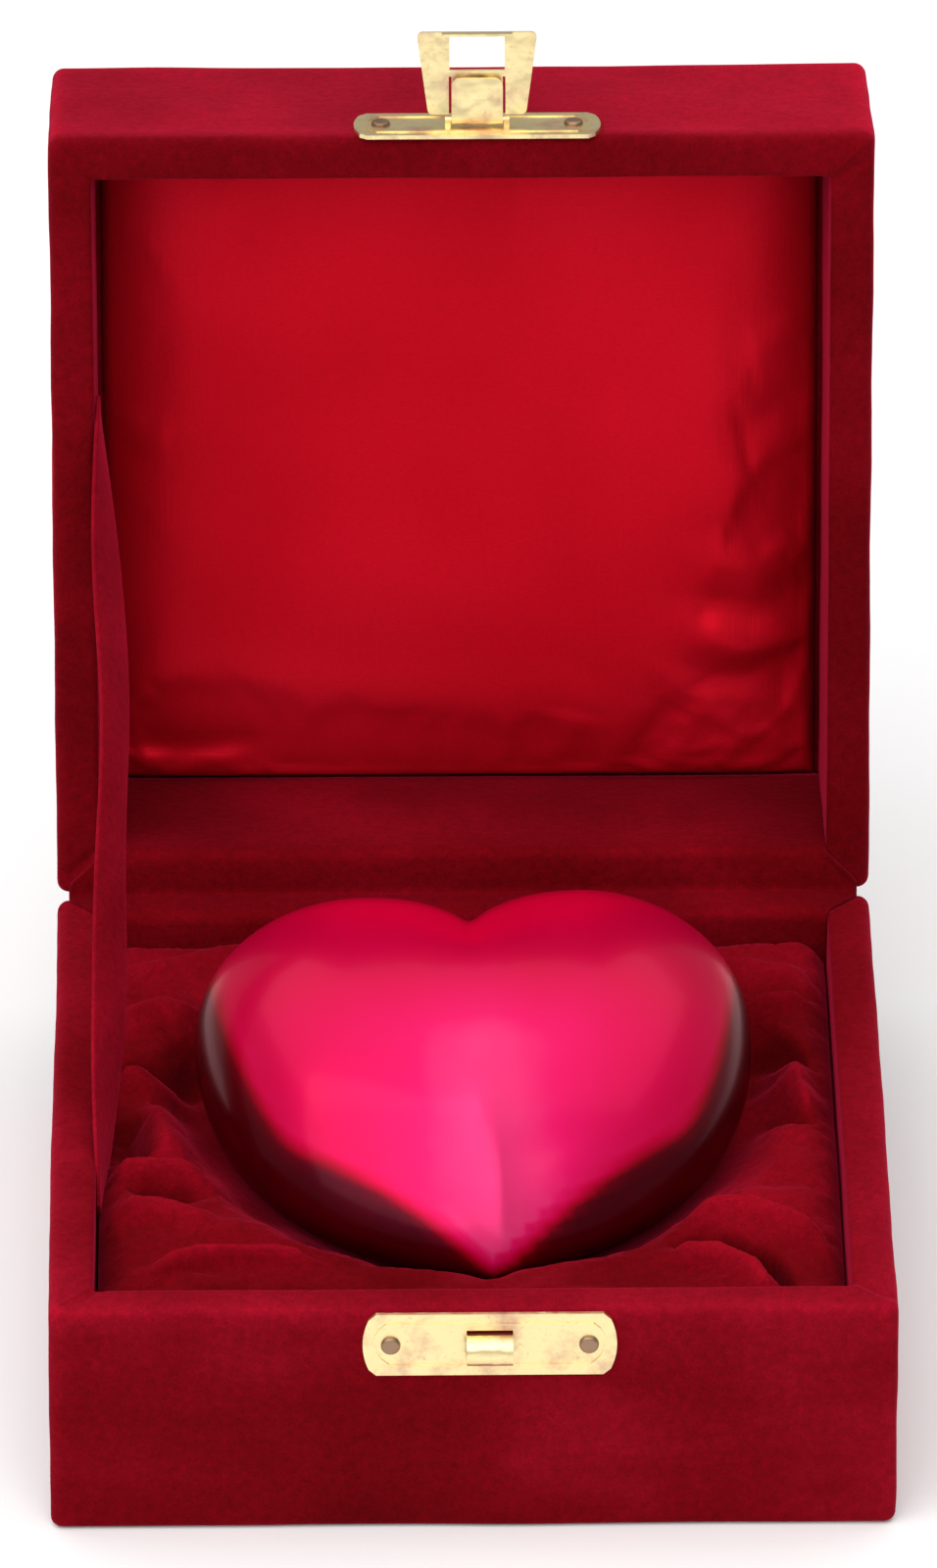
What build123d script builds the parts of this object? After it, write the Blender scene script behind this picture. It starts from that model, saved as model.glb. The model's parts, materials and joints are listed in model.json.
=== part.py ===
"""A square velvet presentation box with a lacquered heart and a small wind-up movement.

Frame: +X right, +Y back, +Z up. The origin is the centre of the underside of the base.
The lid stands open, the hasp stands square to the lid front, and the heart lies in its recess.
"""

import math
import os

from build123d import *

os.makedirs("parts", exist_ok=True)

# ---- driving dimensions, millimetres and degrees ----
WIDTH = 108.0
DEPTH = 106.0
BASE_HEIGHT = 32.6
LID_HEIGHT = 31.0
PILE = 0.7
BOARD = 4.3
BOTTOM_BOARD = 3.0
TOP_BOARD = 2.4
PAPER = 0.6
HEM_LIFT = 0.1
HEM_WIDTH = 8.0
CORNER_RADIUS = 1.6
EDGE_RADIUS = 1.2
RIM_GAP = 0.4
LID_OPEN_ANGLE = 98.0

# cloth hinge
CLOTH_LEAF = 9.0
CLOTH_HALF_WIDTH = WIDTH / 2 - 2.0
FOLD_RADIUS = 0.28
LINING_FOLD = 0.5

# lid pad
PAD_GAP = 1.3
PAD_CARD = 0.8
PAD_EDGE = 2.9
PAD_CROWN = 2.2
PAD_CROWN_INSET = 13.0

# cushion
CUSHION_TOP = 28.6
CUSHION_SIDE_GAP = 1.4
CUSHION_END_GAP = 0.4
CUSHION_ROUND = 2.5
VELVET = 0.8
CUSHION_SKIRT_Z = 12.0
RECESS_CLEARANCE = 0.5
RECESS_RISE = 32.0

# heart
HEART_CENTRE = (1.0, 4.2, 33.7)
HEART_TILT = 11.6
HEART_YAW = 2.7
HEART_HALF_WIDTH = 36.3
HEART_TIP = -38.2
HEART_LOBE_TOP = 27.5
HEART_NOTCH = 18.8
HEART_WIDEST = 6.4
HEART_LOBE_X = 17.8
HEART_THICKNESS = 37.0
HEART_WALL = 1.0
HEART_LEVELS = (0.0, 0.32, 0.58, 0.78, 0.91, 0.985)

# stay ribbon, as distances from the hinge line
STAY_WIDTH = 8.0
STAY_THICKNESS = 0.6
STAY_WALL_GAP = 0.15
STAY_ON_LID = 67.0
STAY_LID_DEPTH = 6.0
STAY_ON_BASE = 71.0
STAY_BASE_DROP = 7.0

# latch
LATCH_X = 2.1
PLATE_LENGTH = 32.3
PLATE_HEIGHT = 9.0
PLATE_THICKNESS = 0.55
CATCH_PLATE_TOP = -0.4
HASP_PLATE_FOOT = -0.3
BORDER_INSET = 1.3
BORDER_WIDTH = 0.35
BORDER_RISE = 0.15
NAIL_SPACING = 25.2
NAIL_HEAD_RADIUS = 1.25
NAIL_HEAD_HEIGHT = 0.55
NAIL_RADIUS = 0.6
NAIL_LENGTH = 3.6
LUG_WIDTH = 5.9
LUG_TOP = -3.4
LUG_BOTTOM = -7.3
LUG_RISE = 2.5
LUG_SHEET = 0.6
LUG_FOOT = 0.1
PIVOT_UP = 3.4
PIVOT_OUT = 1.5
PIVOT_RADIUS = 0.35
KNUCKLE_BORE = 0.4
HASP_SHEET = 0.35
KNUCKLE_HALF_WIDTH = 3.35
POST_GAP = 0.15
POST_WIDTH = 0.7
POST_HALF_HEIGHT = 0.4
HASP_LENGTH = 11.8
HASP_ARM_START = 0.5
HASP_PIVOT_HALF_WIDTH = 6.4
HASP_END_HALF_WIDTH = 7.9
HASP_SLOT = 0.35
HASP_SLOT_END = 5.7
FLAP_LENGTH = 5.8
FLAP_CORNER = 1.1
WINDOW_HALF_WIDTH = 3.6
WINDOW_START = 6.6
LIP_HALF_WIDTH = 4.6
LIP_DROP = 1.2

# movement
BARREL_X = 13.0
TRAIN_Z = 12.9
WHEEL_MODULE = 0.45
WHEEL_TEETH = 32
PINION_TEETH = 14
GOVERNOR_MODULE = 0.35
GOVERNOR_WHEEL_TEETH = 30
GOVERNOR_PINION_TEETH = 10
GOVERNOR_ANGLE = 130.0
PRESSURE_ANGLE = 25.0
ADDENDUM = 0.8
DEDENDUM = 1.05
BACKLASH = 0.12
RUNNING_CLEARANCE = 0.05
FRAME_SHEET = 1.2
FRAME_FRONT = 28.0
FRAME_BACK = 46.6
FRAME_HALF_WIDTH = 26.0
FRAME_TOP = 20.8
UPRIGHT_LEFT = -8.0
UPRIGHT_RIGHT = 22.0
ARBOR_RADIUS = 1.5
DRUM_RADIUS = 5.5
DRUM_WALL = 0.7
DRUM_BACK = 43.2
WHEEL_FRONT = 29.8
WHEEL_FACE = 1.5
SPRING_TURNS = 6
SPRING_SHEET = 0.22
CYLINDER_RADIUS = 4.2
CYLINDER_FRONT = 31.6
CYLINDER_BACK = 43.3
CYLINDER_ARBOR_RADIUS = 0.8
PIN_RADIUS = 0.16
PIN_HEIGHT = 0.45
PIN_COUNT = 54
GOVERNOR_ARBOR_RADIUS = 0.5
FAN_HALF_SPAN = 2.1
COMB_TEETH = 18
COMB_PITCH = 0.6
COMB_FRONT = 32.1
COMB_TIP_CLEARANCE = 0.3
KEY_WING_RADIUS = 4.0
KEY_WING_OFFSET = 5.0
KEY_SHEET = 1.2
KEY_HUB_RADIUS = 2.3
BUSHING_RADIUS = 2.4
COVER_WALL = 1.0
COVER_HALF_WIDTH = 30.0
COVER_FRONT = 26.6
COVER_TOP = 22.2
COVER_ROOM = 0.2

# ---- derived places ----
HALF_W = WIDTH / 2
HALF_D = DEPTH / 2
WALL = BOARD + 2 * PILE
BOARD_X = HALF_W - PILE
BOARD_Y = HALF_D - PILE
WELL_X = HALF_W - WALL
WELL_Y = HALF_D - WALL
LINING_X = WELL_X + PILE
LINING_Y = WELL_Y + PILE
FLOOR_Z = PAPER + BOTTOM_BOARD
RIM_BOARD_Z = BASE_HEIGHT - PILE
LID_BOARD_Z = LID_HEIGHT - PILE
LID_CEILING = LID_BOARD_Z - TOP_BOARD
CARD_Z = LID_CEILING - PAD_CARD
TRAIN_DISTANCE = WHEEL_MODULE * (WHEEL_TEETH + PINION_TEETH) / 2
CYLINDER_X = BARREL_X - TRAIN_DISTANCE
GOVERNOR_DISTANCE = GOVERNOR_MODULE * (GOVERNOR_WHEEL_TEETH + GOVERNOR_PINION_TEETH) / 2
GOVERNOR_X = CYLINDER_X + GOVERNOR_DISTANCE * math.cos(math.radians(GOVERNOR_ANGLE))
GOVERNOR_Z = TRAIN_Z + GOVERNOR_DISTANCE * math.sin(math.radians(GOVERNOR_ANGLE))
CATCH_PLATE_Y = CATCH_PLATE_TOP - PLATE_HEIGHT / 2
HASP_PLATE_Y = HASP_PLATE_FOOT + PLATE_HEIGHT / 2

# ---- frames ----
OPEN = math.radians(LID_OPEN_ANGLE)
hinge_frame = Plane(
    origin=(0, HALF_D, BASE_HEIGHT + RIM_GAP / 2),
    x_dir=(1, 0, 0),
    z_dir=(0, math.sin(OPEN), math.cos(OPEN)),
)
# lid coordinates: X right, Y from the lid front (-DEPTH) to the hinge (0), Z from the rim to the top
lid_frame = hinge_frame.offset(RIM_GAP / 2)
# coordinates of the latch on each front face: X right from the latch's middle, Y up, Z outward
base_face = Plane(origin=(LATCH_X, -HALF_D, BASE_HEIGHT), x_dir=(1, 0, 0), z_dir=(0, -1, 0))
lid_face = Plane(
    origin=lid_frame.from_local_coords((LATCH_X, -DEPTH, 0)),
    x_dir=(1, 0, 0),
    z_dir=-lid_frame.y_dir,
)
# the hasp's own coordinates: X right, -Y along the hasp from its pivot, Z away from the box when latched
hasp_frame = Plane(
    origin=lid_face.from_local_coords((0, PIVOT_UP, PIVOT_OUT)),
    x_dir=(1, 0, 0),
    z_dir=lid_face.y_dir,
)
TILT = math.radians(HEART_TILT)
YAW = math.radians(HEART_YAW)
heart_frame = Plane(
    origin=HEART_CENTRE,
    x_dir=(math.cos(YAW), math.sin(YAW) * math.cos(TILT), math.sin(YAW) * math.sin(TILT)),
    z_dir=(0, -math.sin(TILT), math.cos(TILT)),
)


# ---- shared forms ----
def middle(span):
    """The middle of a (low, high) span."""
    return (span[0] + span[1]) / 2


def slab(frame, x, y, z, mode=Mode.ADD):
    """Add or cut a block between two limits on each axis of a frame."""
    with BuildSketch(frame.offset(z[0])) as outline:
        with Locations((middle(x), middle(y))):
            Rectangle(x[1] - x[0], y[1] - y[0])
    extrude(outline.sketch, amount=z[1] - z[0], mode=mode)


def disc(frame, at, radius, z, mode=Mode.ADD):
    """Add or cut a round bar along a frame's Z, between two limits."""
    with BuildSketch(frame.offset(z[0])) as outline:
        with Locations(at):
            Circle(radius)
    extrude(outline.sketch, amount=z[1] - z[0], mode=mode)


def upright(y):
    """A vertical plane across the box at depth y: its X is +X, its Y is +Z and its Z is -Y."""
    return Plane.XZ.offset(-y)


def bar(at, radius, y, mode=Mode.ADD):
    """Add or cut a round bar along Y through (x, z), between two depths."""
    disc(upright(y[1]), at, radius, (0, y[1] - y[0]), mode)


def rounded_body(frame, middle_y, height, z_low):
    """Add the outer form of the base or the lid, with soft corners and edges."""
    with BuildSketch(frame.offset(z_low)) as outline:
        with Locations((0, middle_y)):
            RectangleRounded(WIDTH, DEPTH, CORNER_RADIUS)
    extrude(outline.sketch, amount=height - z_low)
    across = Axis((0, 0, 0), tuple(frame.z_dir))
    loops = edges().filter_by(across, reverse=True)
    fillet(loops, radius=EDGE_RADIUS)


def plate_outline(plane, inset):
    """The outline of a latch plate: long straight sides, clipped corners and bowed ends."""
    half_length = PLATE_LENGTH / 2 - inset
    half_height = PLATE_HEIGHT / 2 - inset
    shoulder = half_length - 1.7
    clip_x = half_length - 0.75
    clip_y = half_height - 0.85
    with BuildSketch(plane) as outline:
        with BuildLine():
            Line((-shoulder, half_height), (shoulder, half_height))
            Line((shoulder, half_height), (clip_x, clip_y))
            ThreePointArc((clip_x, clip_y), (half_length, 0), (clip_x, -clip_y))
            Line((clip_x, -clip_y), (shoulder, -half_height))
            Line((shoulder, -half_height), (-shoulder, -half_height))
            Line((-shoulder, -half_height), (-clip_x, -clip_y))
            ThreePointArc((-clip_x, -clip_y), (-half_length, 0), (-clip_x, clip_y))
            Line((-clip_x, clip_y), (-shoulder, half_height))
        make_face()
    return outline.sketch


def stamped_plate(frame, middle_y):
    """Add a latch plate with a raised border line and two holes for its nails."""
    plane = Plane(origin=frame.from_local_coords((0, middle_y, 0)), x_dir=frame.x_dir, z_dir=frame.z_dir)
    extrude(plate_outline(plane, 0), amount=PLATE_THICKNESS)
    with BuildSketch(plane) as holes:
        with GridLocations(NAIL_SPACING, 1, 2, 1):
            Circle(NAIL_RADIUS)
    extrude(holes.sketch, amount=PLATE_THICKNESS, mode=Mode.SUBTRACT)
    raised = plane.offset(PLATE_THICKNESS)
    outer_line = plate_outline(raised, BORDER_INSET)
    inner_line = plate_outline(raised, BORDER_INSET + BORDER_WIDTH)
    extrude(outer_line - inner_line, amount=BORDER_RISE)


def nail_holes(frame, middle_y):
    """Cut the two nail holes of a latch plate into what lies behind its face."""
    plane = Plane(origin=frame.from_local_coords((0, middle_y, 0)), x_dir=frame.x_dir, z_dir=frame.z_dir)
    with BuildSketch(plane) as holes:
        with GridLocations(NAIL_SPACING, 1, 2, 1):
            Circle(NAIL_RADIUS)
    extrude(holes.sketch, amount=-NAIL_LENGTH, mode=Mode.SUBTRACT)


def nails(frame, middle_y):
    """Add the two dome-headed nails of a latch plate."""
    plane = Plane(origin=frame.from_local_coords((0, middle_y, 0)), x_dir=frame.x_dir, z_dir=frame.z_dir)
    with BuildSketch(plane.offset(PLATE_THICKNESS)) as heads:
        with GridLocations(NAIL_SPACING, 1, 2, 1):
            Circle(NAIL_HEAD_RADIUS)
    extrude(heads.sketch, amount=NAIL_HEAD_HEIGHT)
    outward = Axis((0, 0, 0), tuple(frame.z_dir))
    fillet(edges().group_by(outward)[-1], radius=NAIL_HEAD_HEIGHT * 0.8)
    with BuildSketch(plane.offset(-NAIL_LENGTH)) as shanks:
        with GridLocations(NAIL_SPACING, 1, 2, 1):
            Circle(NAIL_RADIUS)
    extrude(shanks.sketch, amount=NAIL_LENGTH + PLATE_THICKNESS)


def heart_section(plane, level, grow):
    """The heart's outline at a level from 0, its middle plane, to 1, its top, grown outward."""
    side = (1 - level**2) ** (1 / 2.33)
    point = (1 - level**1.38) ** (1 / 1.83)
    half = HEART_HALF_WIDTH * side + grow
    tip = HEART_TIP * point - 1.5 * grow
    top = HEART_LOBE_TOP * side + grow
    notch = top - (HEART_LOBE_TOP - HEART_NOTCH) * side**1.6
    widest = HEART_WIDEST * side
    lobe = HEART_LOBE_X * side
    with BuildSketch(plane) as section:
        with BuildLine():
            for hand in (1, -1):
                Bezier(
                    (0, notch),
                    (hand * lobe * 0.14, notch + (top - notch) * 0.6),
                    (hand * lobe * 0.45, top),
                    (hand * lobe, top),
                )
                Bezier(
                    (hand * lobe, top),
                    (hand * (lobe + (half - lobe) * 0.58), top),
                    (hand * half, widest + (top - widest) * 0.55),
                    (hand * half, widest),
                )
                Bezier(
                    (hand * half, widest),
                    (hand * half, widest - (widest - tip) * 0.52),
                    (hand * half * 0.65, tip + (widest - tip) * 0.11),
                    (0, tip),
                )
        make_face()
    return section.sketch


def half_heart(hand, grow):
    """Add one half of the heart, above (hand 1) or below (hand -1) its middle plane, grown outward."""
    sections = []
    for level in HEART_LEVELS:
        height = hand * level * (HEART_THICKNESS / 2 + grow)
        sections.append(heart_section(heart_frame.offset(height), level, grow).face())
    loft(sections)


def gear(teeth, module, at, phase, y):
    """Add an involute gear along Y between two depths, with a tooth centred at phase degrees."""
    pressure = math.radians(PRESSURE_ANGLE)
    pitch_radius = module * teeth / 2
    base_radius = pitch_radius * math.cos(pressure)
    root_radius = pitch_radius - DEDENDUM * module
    tip_radius = pitch_radius + ADDENDUM * module
    half_tooth = (math.pi * module / 2 - BACKLASH) / (2 * pitch_radius)
    at_pitch = math.tan(pressure) - pressure
    start = max(base_radius, root_radius)
    flank = []
    for step in range(4):
        radius = start + (tip_radius - start) * step / 3
        roll = math.acos(min(1.0, base_radius / radius))
        flank.append((radius, half_tooth + at_pitch - (math.tan(roll) - roll)))
    if root_radius < base_radius:
        flank.insert(0, (root_radius, flank[0][1]))
    points = []
    for tooth in range(teeth):
        centre = math.radians(phase) + 2 * math.pi * tooth / teeth
        turns = [(radius, centre - angle) for radius, angle in flank]
        turns += [(radius, centre + angle) for radius, angle in reversed(flank)]
        points += [(at[0] + r * math.cos(a), at[1] + r * math.sin(a)) for r, a in turns]
    with BuildSketch(upright(y[1])) as blank:
        with BuildLine():
            Polyline(*points, close=True)
        make_face()
    extrude(blank.sketch, amount=y[1] - y[0])


# ---- base: boards, cloth and paper ----
with BuildPart() as base_bottom_board:
    slab(Plane.XY, (-BOARD_X, BOARD_X), (-BOARD_Y, BOARD_Y), (PAPER, FLOOR_Z))
    with Locations((0, (FRAME_FRONT + FRAME_BACK) / 2, FLOOR_Z)):
        with GridLocations(46, 12, 2, 2):
            Cylinder(0.8, 2.5, align=(Align.CENTER, Align.CENTER, Align.MAX), mode=Mode.SUBTRACT)
base_bottom_board.part.label = "base_bottom_board"
export_step(base_bottom_board.part, "parts/base_bottom_board.step")

for name, side in (("base_left_board", -1), ("base_right_board", 1)):
    with BuildPart() as side_board:
        x_span = sorted((side * BOARD_X, side * LINING_X))
        slab(Plane.XY, x_span, (-BOARD_Y, BOARD_Y), (FLOOR_Z, RIM_BOARD_Z))
    side_board.part.label = name
    export_step(side_board.part, f"parts/{name}.step")

with BuildPart() as base_front_board:
    slab(Plane.XY, (-LINING_X, LINING_X), (-BOARD_Y, -LINING_Y), (FLOOR_Z, RIM_BOARD_Z))
    nail_holes(base_face, CATCH_PLATE_Y)
base_front_board.part.label = "base_front_board"
export_step(base_front_board.part, "parts/base_front_board.step")

with BuildPart() as base_back_board:
    slab(Plane.XY, (-LINING_X, LINING_X), (LINING_Y, BOARD_Y), (FLOOR_Z, RIM_BOARD_Z))
    bar((BARREL_X, TRAIN_Z), BUSHING_RADIUS, (LINING_Y - 1, BOARD_Y + 1), Mode.SUBTRACT)
base_back_board.part.label = "base_back_board"
export_step(base_back_board.part, "parts/base_back_board.step")

with BuildPart() as base_underside:
    slab(
        Plane.XY,
        (-HALF_W + HEM_WIDTH, HALF_W - HEM_WIDTH),
        (-HALF_D + HEM_WIDTH, HALF_D - HEM_WIDTH),
        (0, PAPER),
    )
base_underside.part.label = "base_underside"
export_step(base_underside.part, "parts/base_underside.step")

with BuildPart() as base_velvet_cover:
    rounded_body(Plane.XY, 0, BASE_HEIGHT, HEM_LIFT)
    slab(Plane.XY, (-BOARD_X, BOARD_X), (-BOARD_Y, BOARD_Y), (PAPER, RIM_BOARD_Z), Mode.SUBTRACT)
    slab(Plane.XY, (-WELL_X, WELL_X), (-WELL_Y, WELL_Y), (PAPER, BASE_HEIGHT + 1), Mode.SUBTRACT)
    slab(
        Plane.XY,
        (-HALF_W + HEM_WIDTH, HALF_W - HEM_WIDTH),
        (-HALF_D + HEM_WIDTH, HALF_D - HEM_WIDTH),
        (0, PAPER),
        Mode.SUBTRACT,
    )
    # the outer cloth hinge and the lining that crosses the back rim take this cloth's place there
    slab(
        Plane.XY,
        (-CLOTH_HALF_WIDTH, CLOTH_HALF_WIDTH),
        (BOARD_Y, HALF_D + 1),
        (BASE_HEIGHT - CLOTH_LEAF, BASE_HEIGHT + 1),
        Mode.SUBTRACT,
    )
    slab(Plane.XY, (-WELL_X, WELL_X), (WELL_Y, BOARD_Y), (RIM_BOARD_Z, BASE_HEIGHT + 1), Mode.SUBTRACT)
    nail_holes(base_face, CATCH_PLATE_Y)
    bar((BARREL_X, TRAIN_Z), BUSHING_RADIUS, (BOARD_Y - 1, HALF_D + 1), Mode.SUBTRACT)
base_velvet_cover.part.label = "base_velvet_cover"
export_step(base_velvet_cover.part, "parts/base_velvet_cover.step")

with BuildPart() as base_lining:
    slab(Plane.XY, (-LINING_X, LINING_X), (-LINING_Y, LINING_Y), (FLOOR_Z, RIM_BOARD_Z))
    slab(Plane.XY, (-WELL_X, WELL_X), (-WELL_Y, WELL_Y), (0, BASE_HEIGHT), Mode.SUBTRACT)
    slab(
        Plane.XY,
        (-WELL_X, WELL_X),
        (WELL_Y - 1, LINING_Y),
        (BASE_HEIGHT - CLOTH_LEAF, BASE_HEIGHT),
        Mode.SUBTRACT,
    )
    bar((BARREL_X, TRAIN_Z), BUSHING_RADIUS, (WELL_Y - 1, LINING_Y + 1), Mode.SUBTRACT)
base_lining.part.label = "base_lining"
export_step(base_lining.part, "parts/base_lining.step")

# ---- lid: boards, cloth, card and pad, in the lid's own frame ----
with BuildPart() as lid_top_board:
    slab(lid_frame, (-BOARD_X, BOARD_X), (PILE - DEPTH, -PILE), (LID_CEILING, LID_BOARD_Z))
lid_top_board.part.label = "lid_top_board"
export_step(lid_top_board.part, "parts/lid_top_board.step")

for name, side in (("lid_left_board", -1), ("lid_right_board", 1)):
    with BuildPart() as side_board:
        x_span = sorted((side * BOARD_X, side * LINING_X))
        slab(lid_frame, x_span, (PILE - DEPTH, -PILE), (PILE, LID_CEILING))
    side_board.part.label = name
    export_step(side_board.part, f"parts/{name}.step")

with BuildPart() as lid_front_board:
    slab(
        lid_frame,
        (-LINING_X, LINING_X),
        (PILE - DEPTH, PILE + BOARD - DEPTH),
        (PILE, LID_CEILING),
    )
    nail_holes(lid_face, HASP_PLATE_Y)
lid_front_board.part.label = "lid_front_board"
export_step(lid_front_board.part, "parts/lid_front_board.step")

with BuildPart() as lid_back_board:
    slab(lid_frame, (-LINING_X, LINING_X), (-PILE - BOARD, -PILE), (PILE, LID_CEILING))
lid_back_board.part.label = "lid_back_board"
export_step(lid_back_board.part, "parts/lid_back_board.step")

with BuildPart() as lid_velvet_cover:
    rounded_body(lid_frame, -HALF_D, LID_HEIGHT, 0)
    slab(lid_frame, (-BOARD_X, BOARD_X), (PILE - DEPTH, -PILE), (PILE, LID_BOARD_Z), Mode.SUBTRACT)
    slab(lid_frame, (-WELL_X, WELL_X), (WALL - DEPTH, -WALL), (-1, LID_BOARD_Z), Mode.SUBTRACT)
    slab(
        lid_frame,
        (-CLOTH_HALF_WIDTH, CLOTH_HALF_WIDTH),
        (-PILE, 1),
        (-1, CLOTH_LEAF),
        Mode.SUBTRACT,
    )
    slab(lid_frame, (-WELL_X, WELL_X), (-WALL - 1, -PILE), (-1, PILE), Mode.SUBTRACT)
    nail_holes(lid_face, HASP_PLATE_Y)
lid_velvet_cover.part.label = "lid_velvet_cover"
export_step(lid_velvet_cover.part, "parts/lid_velvet_cover.step")

with BuildPart() as lid_lining:
    slab(
        lid_frame,
        (-LINING_X, LINING_X),
        (PILE + BOARD - DEPTH, -PILE - BOARD),
        (PILE, LID_CEILING),
    )
    slab(lid_frame, (-WELL_X, WELL_X), (WALL - DEPTH, -WALL), (-1, LID_HEIGHT), Mode.SUBTRACT)
    slab(lid_frame, (-WELL_X, WELL_X), (-WALL - 1, -PILE - BOARD), (-1, CLOTH_LEAF), Mode.SUBTRACT)
lid_lining.part.label = "lid_lining"
export_step(lid_lining.part, "parts/lid_lining.step")

PAD_X = WELL_X - PAD_GAP
PAD_FRONT = WALL + PAD_GAP - DEPTH
PAD_BACK = -WALL - PAD_GAP
with BuildPart() as pad_card:
    slab(lid_frame, (-PAD_X, PAD_X), (PAD_FRONT, PAD_BACK), (CARD_Z, LID_CEILING))
pad_card.part.label = "pad_card"
export_step(pad_card.part, "parts/pad_card.step")

with BuildPart() as satin_pad:
    slab(lid_frame, (-PAD_X, PAD_X), (PAD_FRONT, PAD_BACK), (CARD_Z - PAD_EDGE, CARD_Z))
    crown = []
    for inset, rise in ((0.0, 0.0), (PAD_CROWN_INSET, PAD_CROWN)):
        with BuildSketch(lid_frame.offset(CARD_Z - PAD_EDGE - rise)) as crown_section:
            with Locations((0, middle((PAD_FRONT, PAD_BACK)))):
                Rectangle(2 * (PAD_X - inset), PAD_BACK - PAD_FRONT - 2 * inset)
        crown.append(crown_section.sketch.face())
    loft(crown)
satin_pad.part.label = "satin_pad"
export_step(satin_pad.part, "parts/satin_pad.step")

# ---- cloth that crosses the fold ----
with BuildPart() as hinge_cloth:
    slab(
        Plane.XY,
        (-CLOTH_HALF_WIDTH, CLOTH_HALF_WIDTH),
        (BOARD_Y, HALF_D),
        (BASE_HEIGHT - CLOTH_LEAF, BASE_HEIGHT),
    )
    slab(lid_frame, (-CLOTH_HALF_WIDTH, CLOTH_HALF_WIDTH), (-PILE, 0), (0, CLOTH_LEAF))
    disc(
        Plane.YZ.offset(-CLOTH_HALF_WIDTH),
        (HALF_D, BASE_HEIGHT + RIM_GAP / 2),
        FOLD_RADIUS,
        (0, 2 * CLOTH_HALF_WIDTH),
    )
hinge_cloth.part.label = "hinge_cloth"
export_step(hinge_cloth.part, "parts/hinge_cloth.step")

fold_start = Vector(0, BOARD_Y, BASE_HEIGHT)
fold_end = lid_frame.from_local_coords(Vector(0, -PILE, 0))
fold_back = lid_frame.from_local_coords(Vector(0, -2 * PILE, 0))
fold_run = fold_end - fold_start
fold_lift = Vector(0, -fold_run.Z, fold_run.Y).normalized() * LINING_FOLD
fold_corners = [
    fold_start - Vector(0, PILE, PILE / 2),
    fold_start - Vector(0, 0, PILE / 2),
    fold_start,
    fold_end,
    fold_back,
    fold_end + fold_lift,
    fold_start + fold_lift,
]
with BuildPart() as hinge_lining:
    slab(Plane.XY, (-WELL_X, WELL_X), (WELL_Y, BOARD_Y), (RIM_BOARD_Z, BASE_HEIGHT))
    slab(Plane.XY, (-WELL_X, WELL_X), (WELL_Y, LINING_Y), (BASE_HEIGHT - CLOTH_LEAF, BASE_HEIGHT))
    slab(lid_frame, (-WELL_X, WELL_X), (-WALL, -PILE), (0, PILE))
    slab(lid_frame, (-WELL_X, WELL_X), (-WALL, -PILE - BOARD), (0, CLOTH_LEAF))
    with BuildSketch(Plane.YZ.offset(-WELL_X)):
        with BuildLine():
            Polyline(*[(corner.Y, corner.Z) for corner in fold_corners], close=True)
        make_face()
    extrude(amount=2 * WELL_X)
hinge_lining.part.label = "hinge_lining"
export_step(hinge_lining.part, "parts/hinge_lining.step")

# ---- stay ribbon: a straight strip beside the left wall ----
STAY_X = -WELL_X + STAY_WALL_GAP
stay_base = Vector(0, HALF_D - STAY_ON_BASE, BASE_HEIGHT - STAY_BASE_DROP)
stay_lid = lid_frame.from_local_coords(Vector(0, -STAY_ON_LID, STAY_LID_DEPTH))
stay_run = stay_lid - stay_base
stay_angle = math.degrees(math.atan2(stay_run.Z, stay_run.Y))
with BuildPart() as lid_stay:
    with BuildSketch(Plane.YZ.offset(STAY_X)):
        with Locations(((stay_base.Y + stay_lid.Y) / 2, (stay_base.Z + stay_lid.Z) / 2)):
            Rectangle(stay_run.length, STAY_WIDTH, rotation=stay_angle)
    extrude(amount=STAY_THICKNESS)
lid_stay.part.label = "lid_stay"
export_step(lid_stay.part, "parts/lid_stay.step")

# ---- heart: two hollow halves ----
for name, hand in (("heart_upper_shell", 1), ("heart_lower_shell", -1)):
    with BuildPart() as hollow:
        half_heart(hand, -HEART_WALL)
    with BuildPart() as shell_half:
        half_heart(hand, 0)
        add(hollow.part, mode=Mode.SUBTRACT)
    shell_half.part.label = name
    export_step(shell_half.part, f"parts/{name}.step")

# ---- cushion: a foam block and its velvet, with the heart's recess ----
recesses = []
for grow in (RECESS_CLEARANCE, RECESS_CLEARANCE + VELVET):
    with BuildPart() as recess:
        half_heart(-1, grow)
        extrude(heart_section(heart_frame, 0.0, grow), amount=RECESS_RISE)
    recesses.append(recess)
close_recess, wide_recess = recesses



def movement_space(mode):
    """Cut the space under the cushion that the movement and its cover take."""
    side = COVER_HALF_WIDTH + COVER_ROOM
    slab(Plane.XY, (-side, side), (COVER_FRONT - COVER_ROOM, HALF_D), (0, COVER_TOP + COVER_ROOM), mode)


CUSHION_X = WELL_X - CUSHION_SIDE_GAP
CUSHION_Y = WELL_Y - CUSHION_END_GAP
FOAM_X = CUSHION_X - VELVET
FOAM_Y = CUSHION_Y - VELVET
with BuildPart() as cushion_foam:
    slab(Plane.XY, (-FOAM_X, FOAM_X), (-FOAM_Y, FOAM_Y), (FLOOR_Z, CUSHION_TOP - VELVET))
    fillet(edges().group_by(Axis.Z)[-1], radius=CUSHION_ROUND - VELVET)
    movement_space(Mode.SUBTRACT)
    add(wide_recess.part, mode=Mode.SUBTRACT)
cushion_foam.part.label = "cushion_foam"
export_step(cushion_foam.part, "parts/cushion_foam.step")

with BuildPart() as recess_skin:
    add(wide_recess.part)
    slab(Plane.XY, (-CUSHION_X, CUSHION_X), (-CUSHION_Y, CUSHION_Y), (0, CUSHION_TOP), Mode.INTERSECT)

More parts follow.
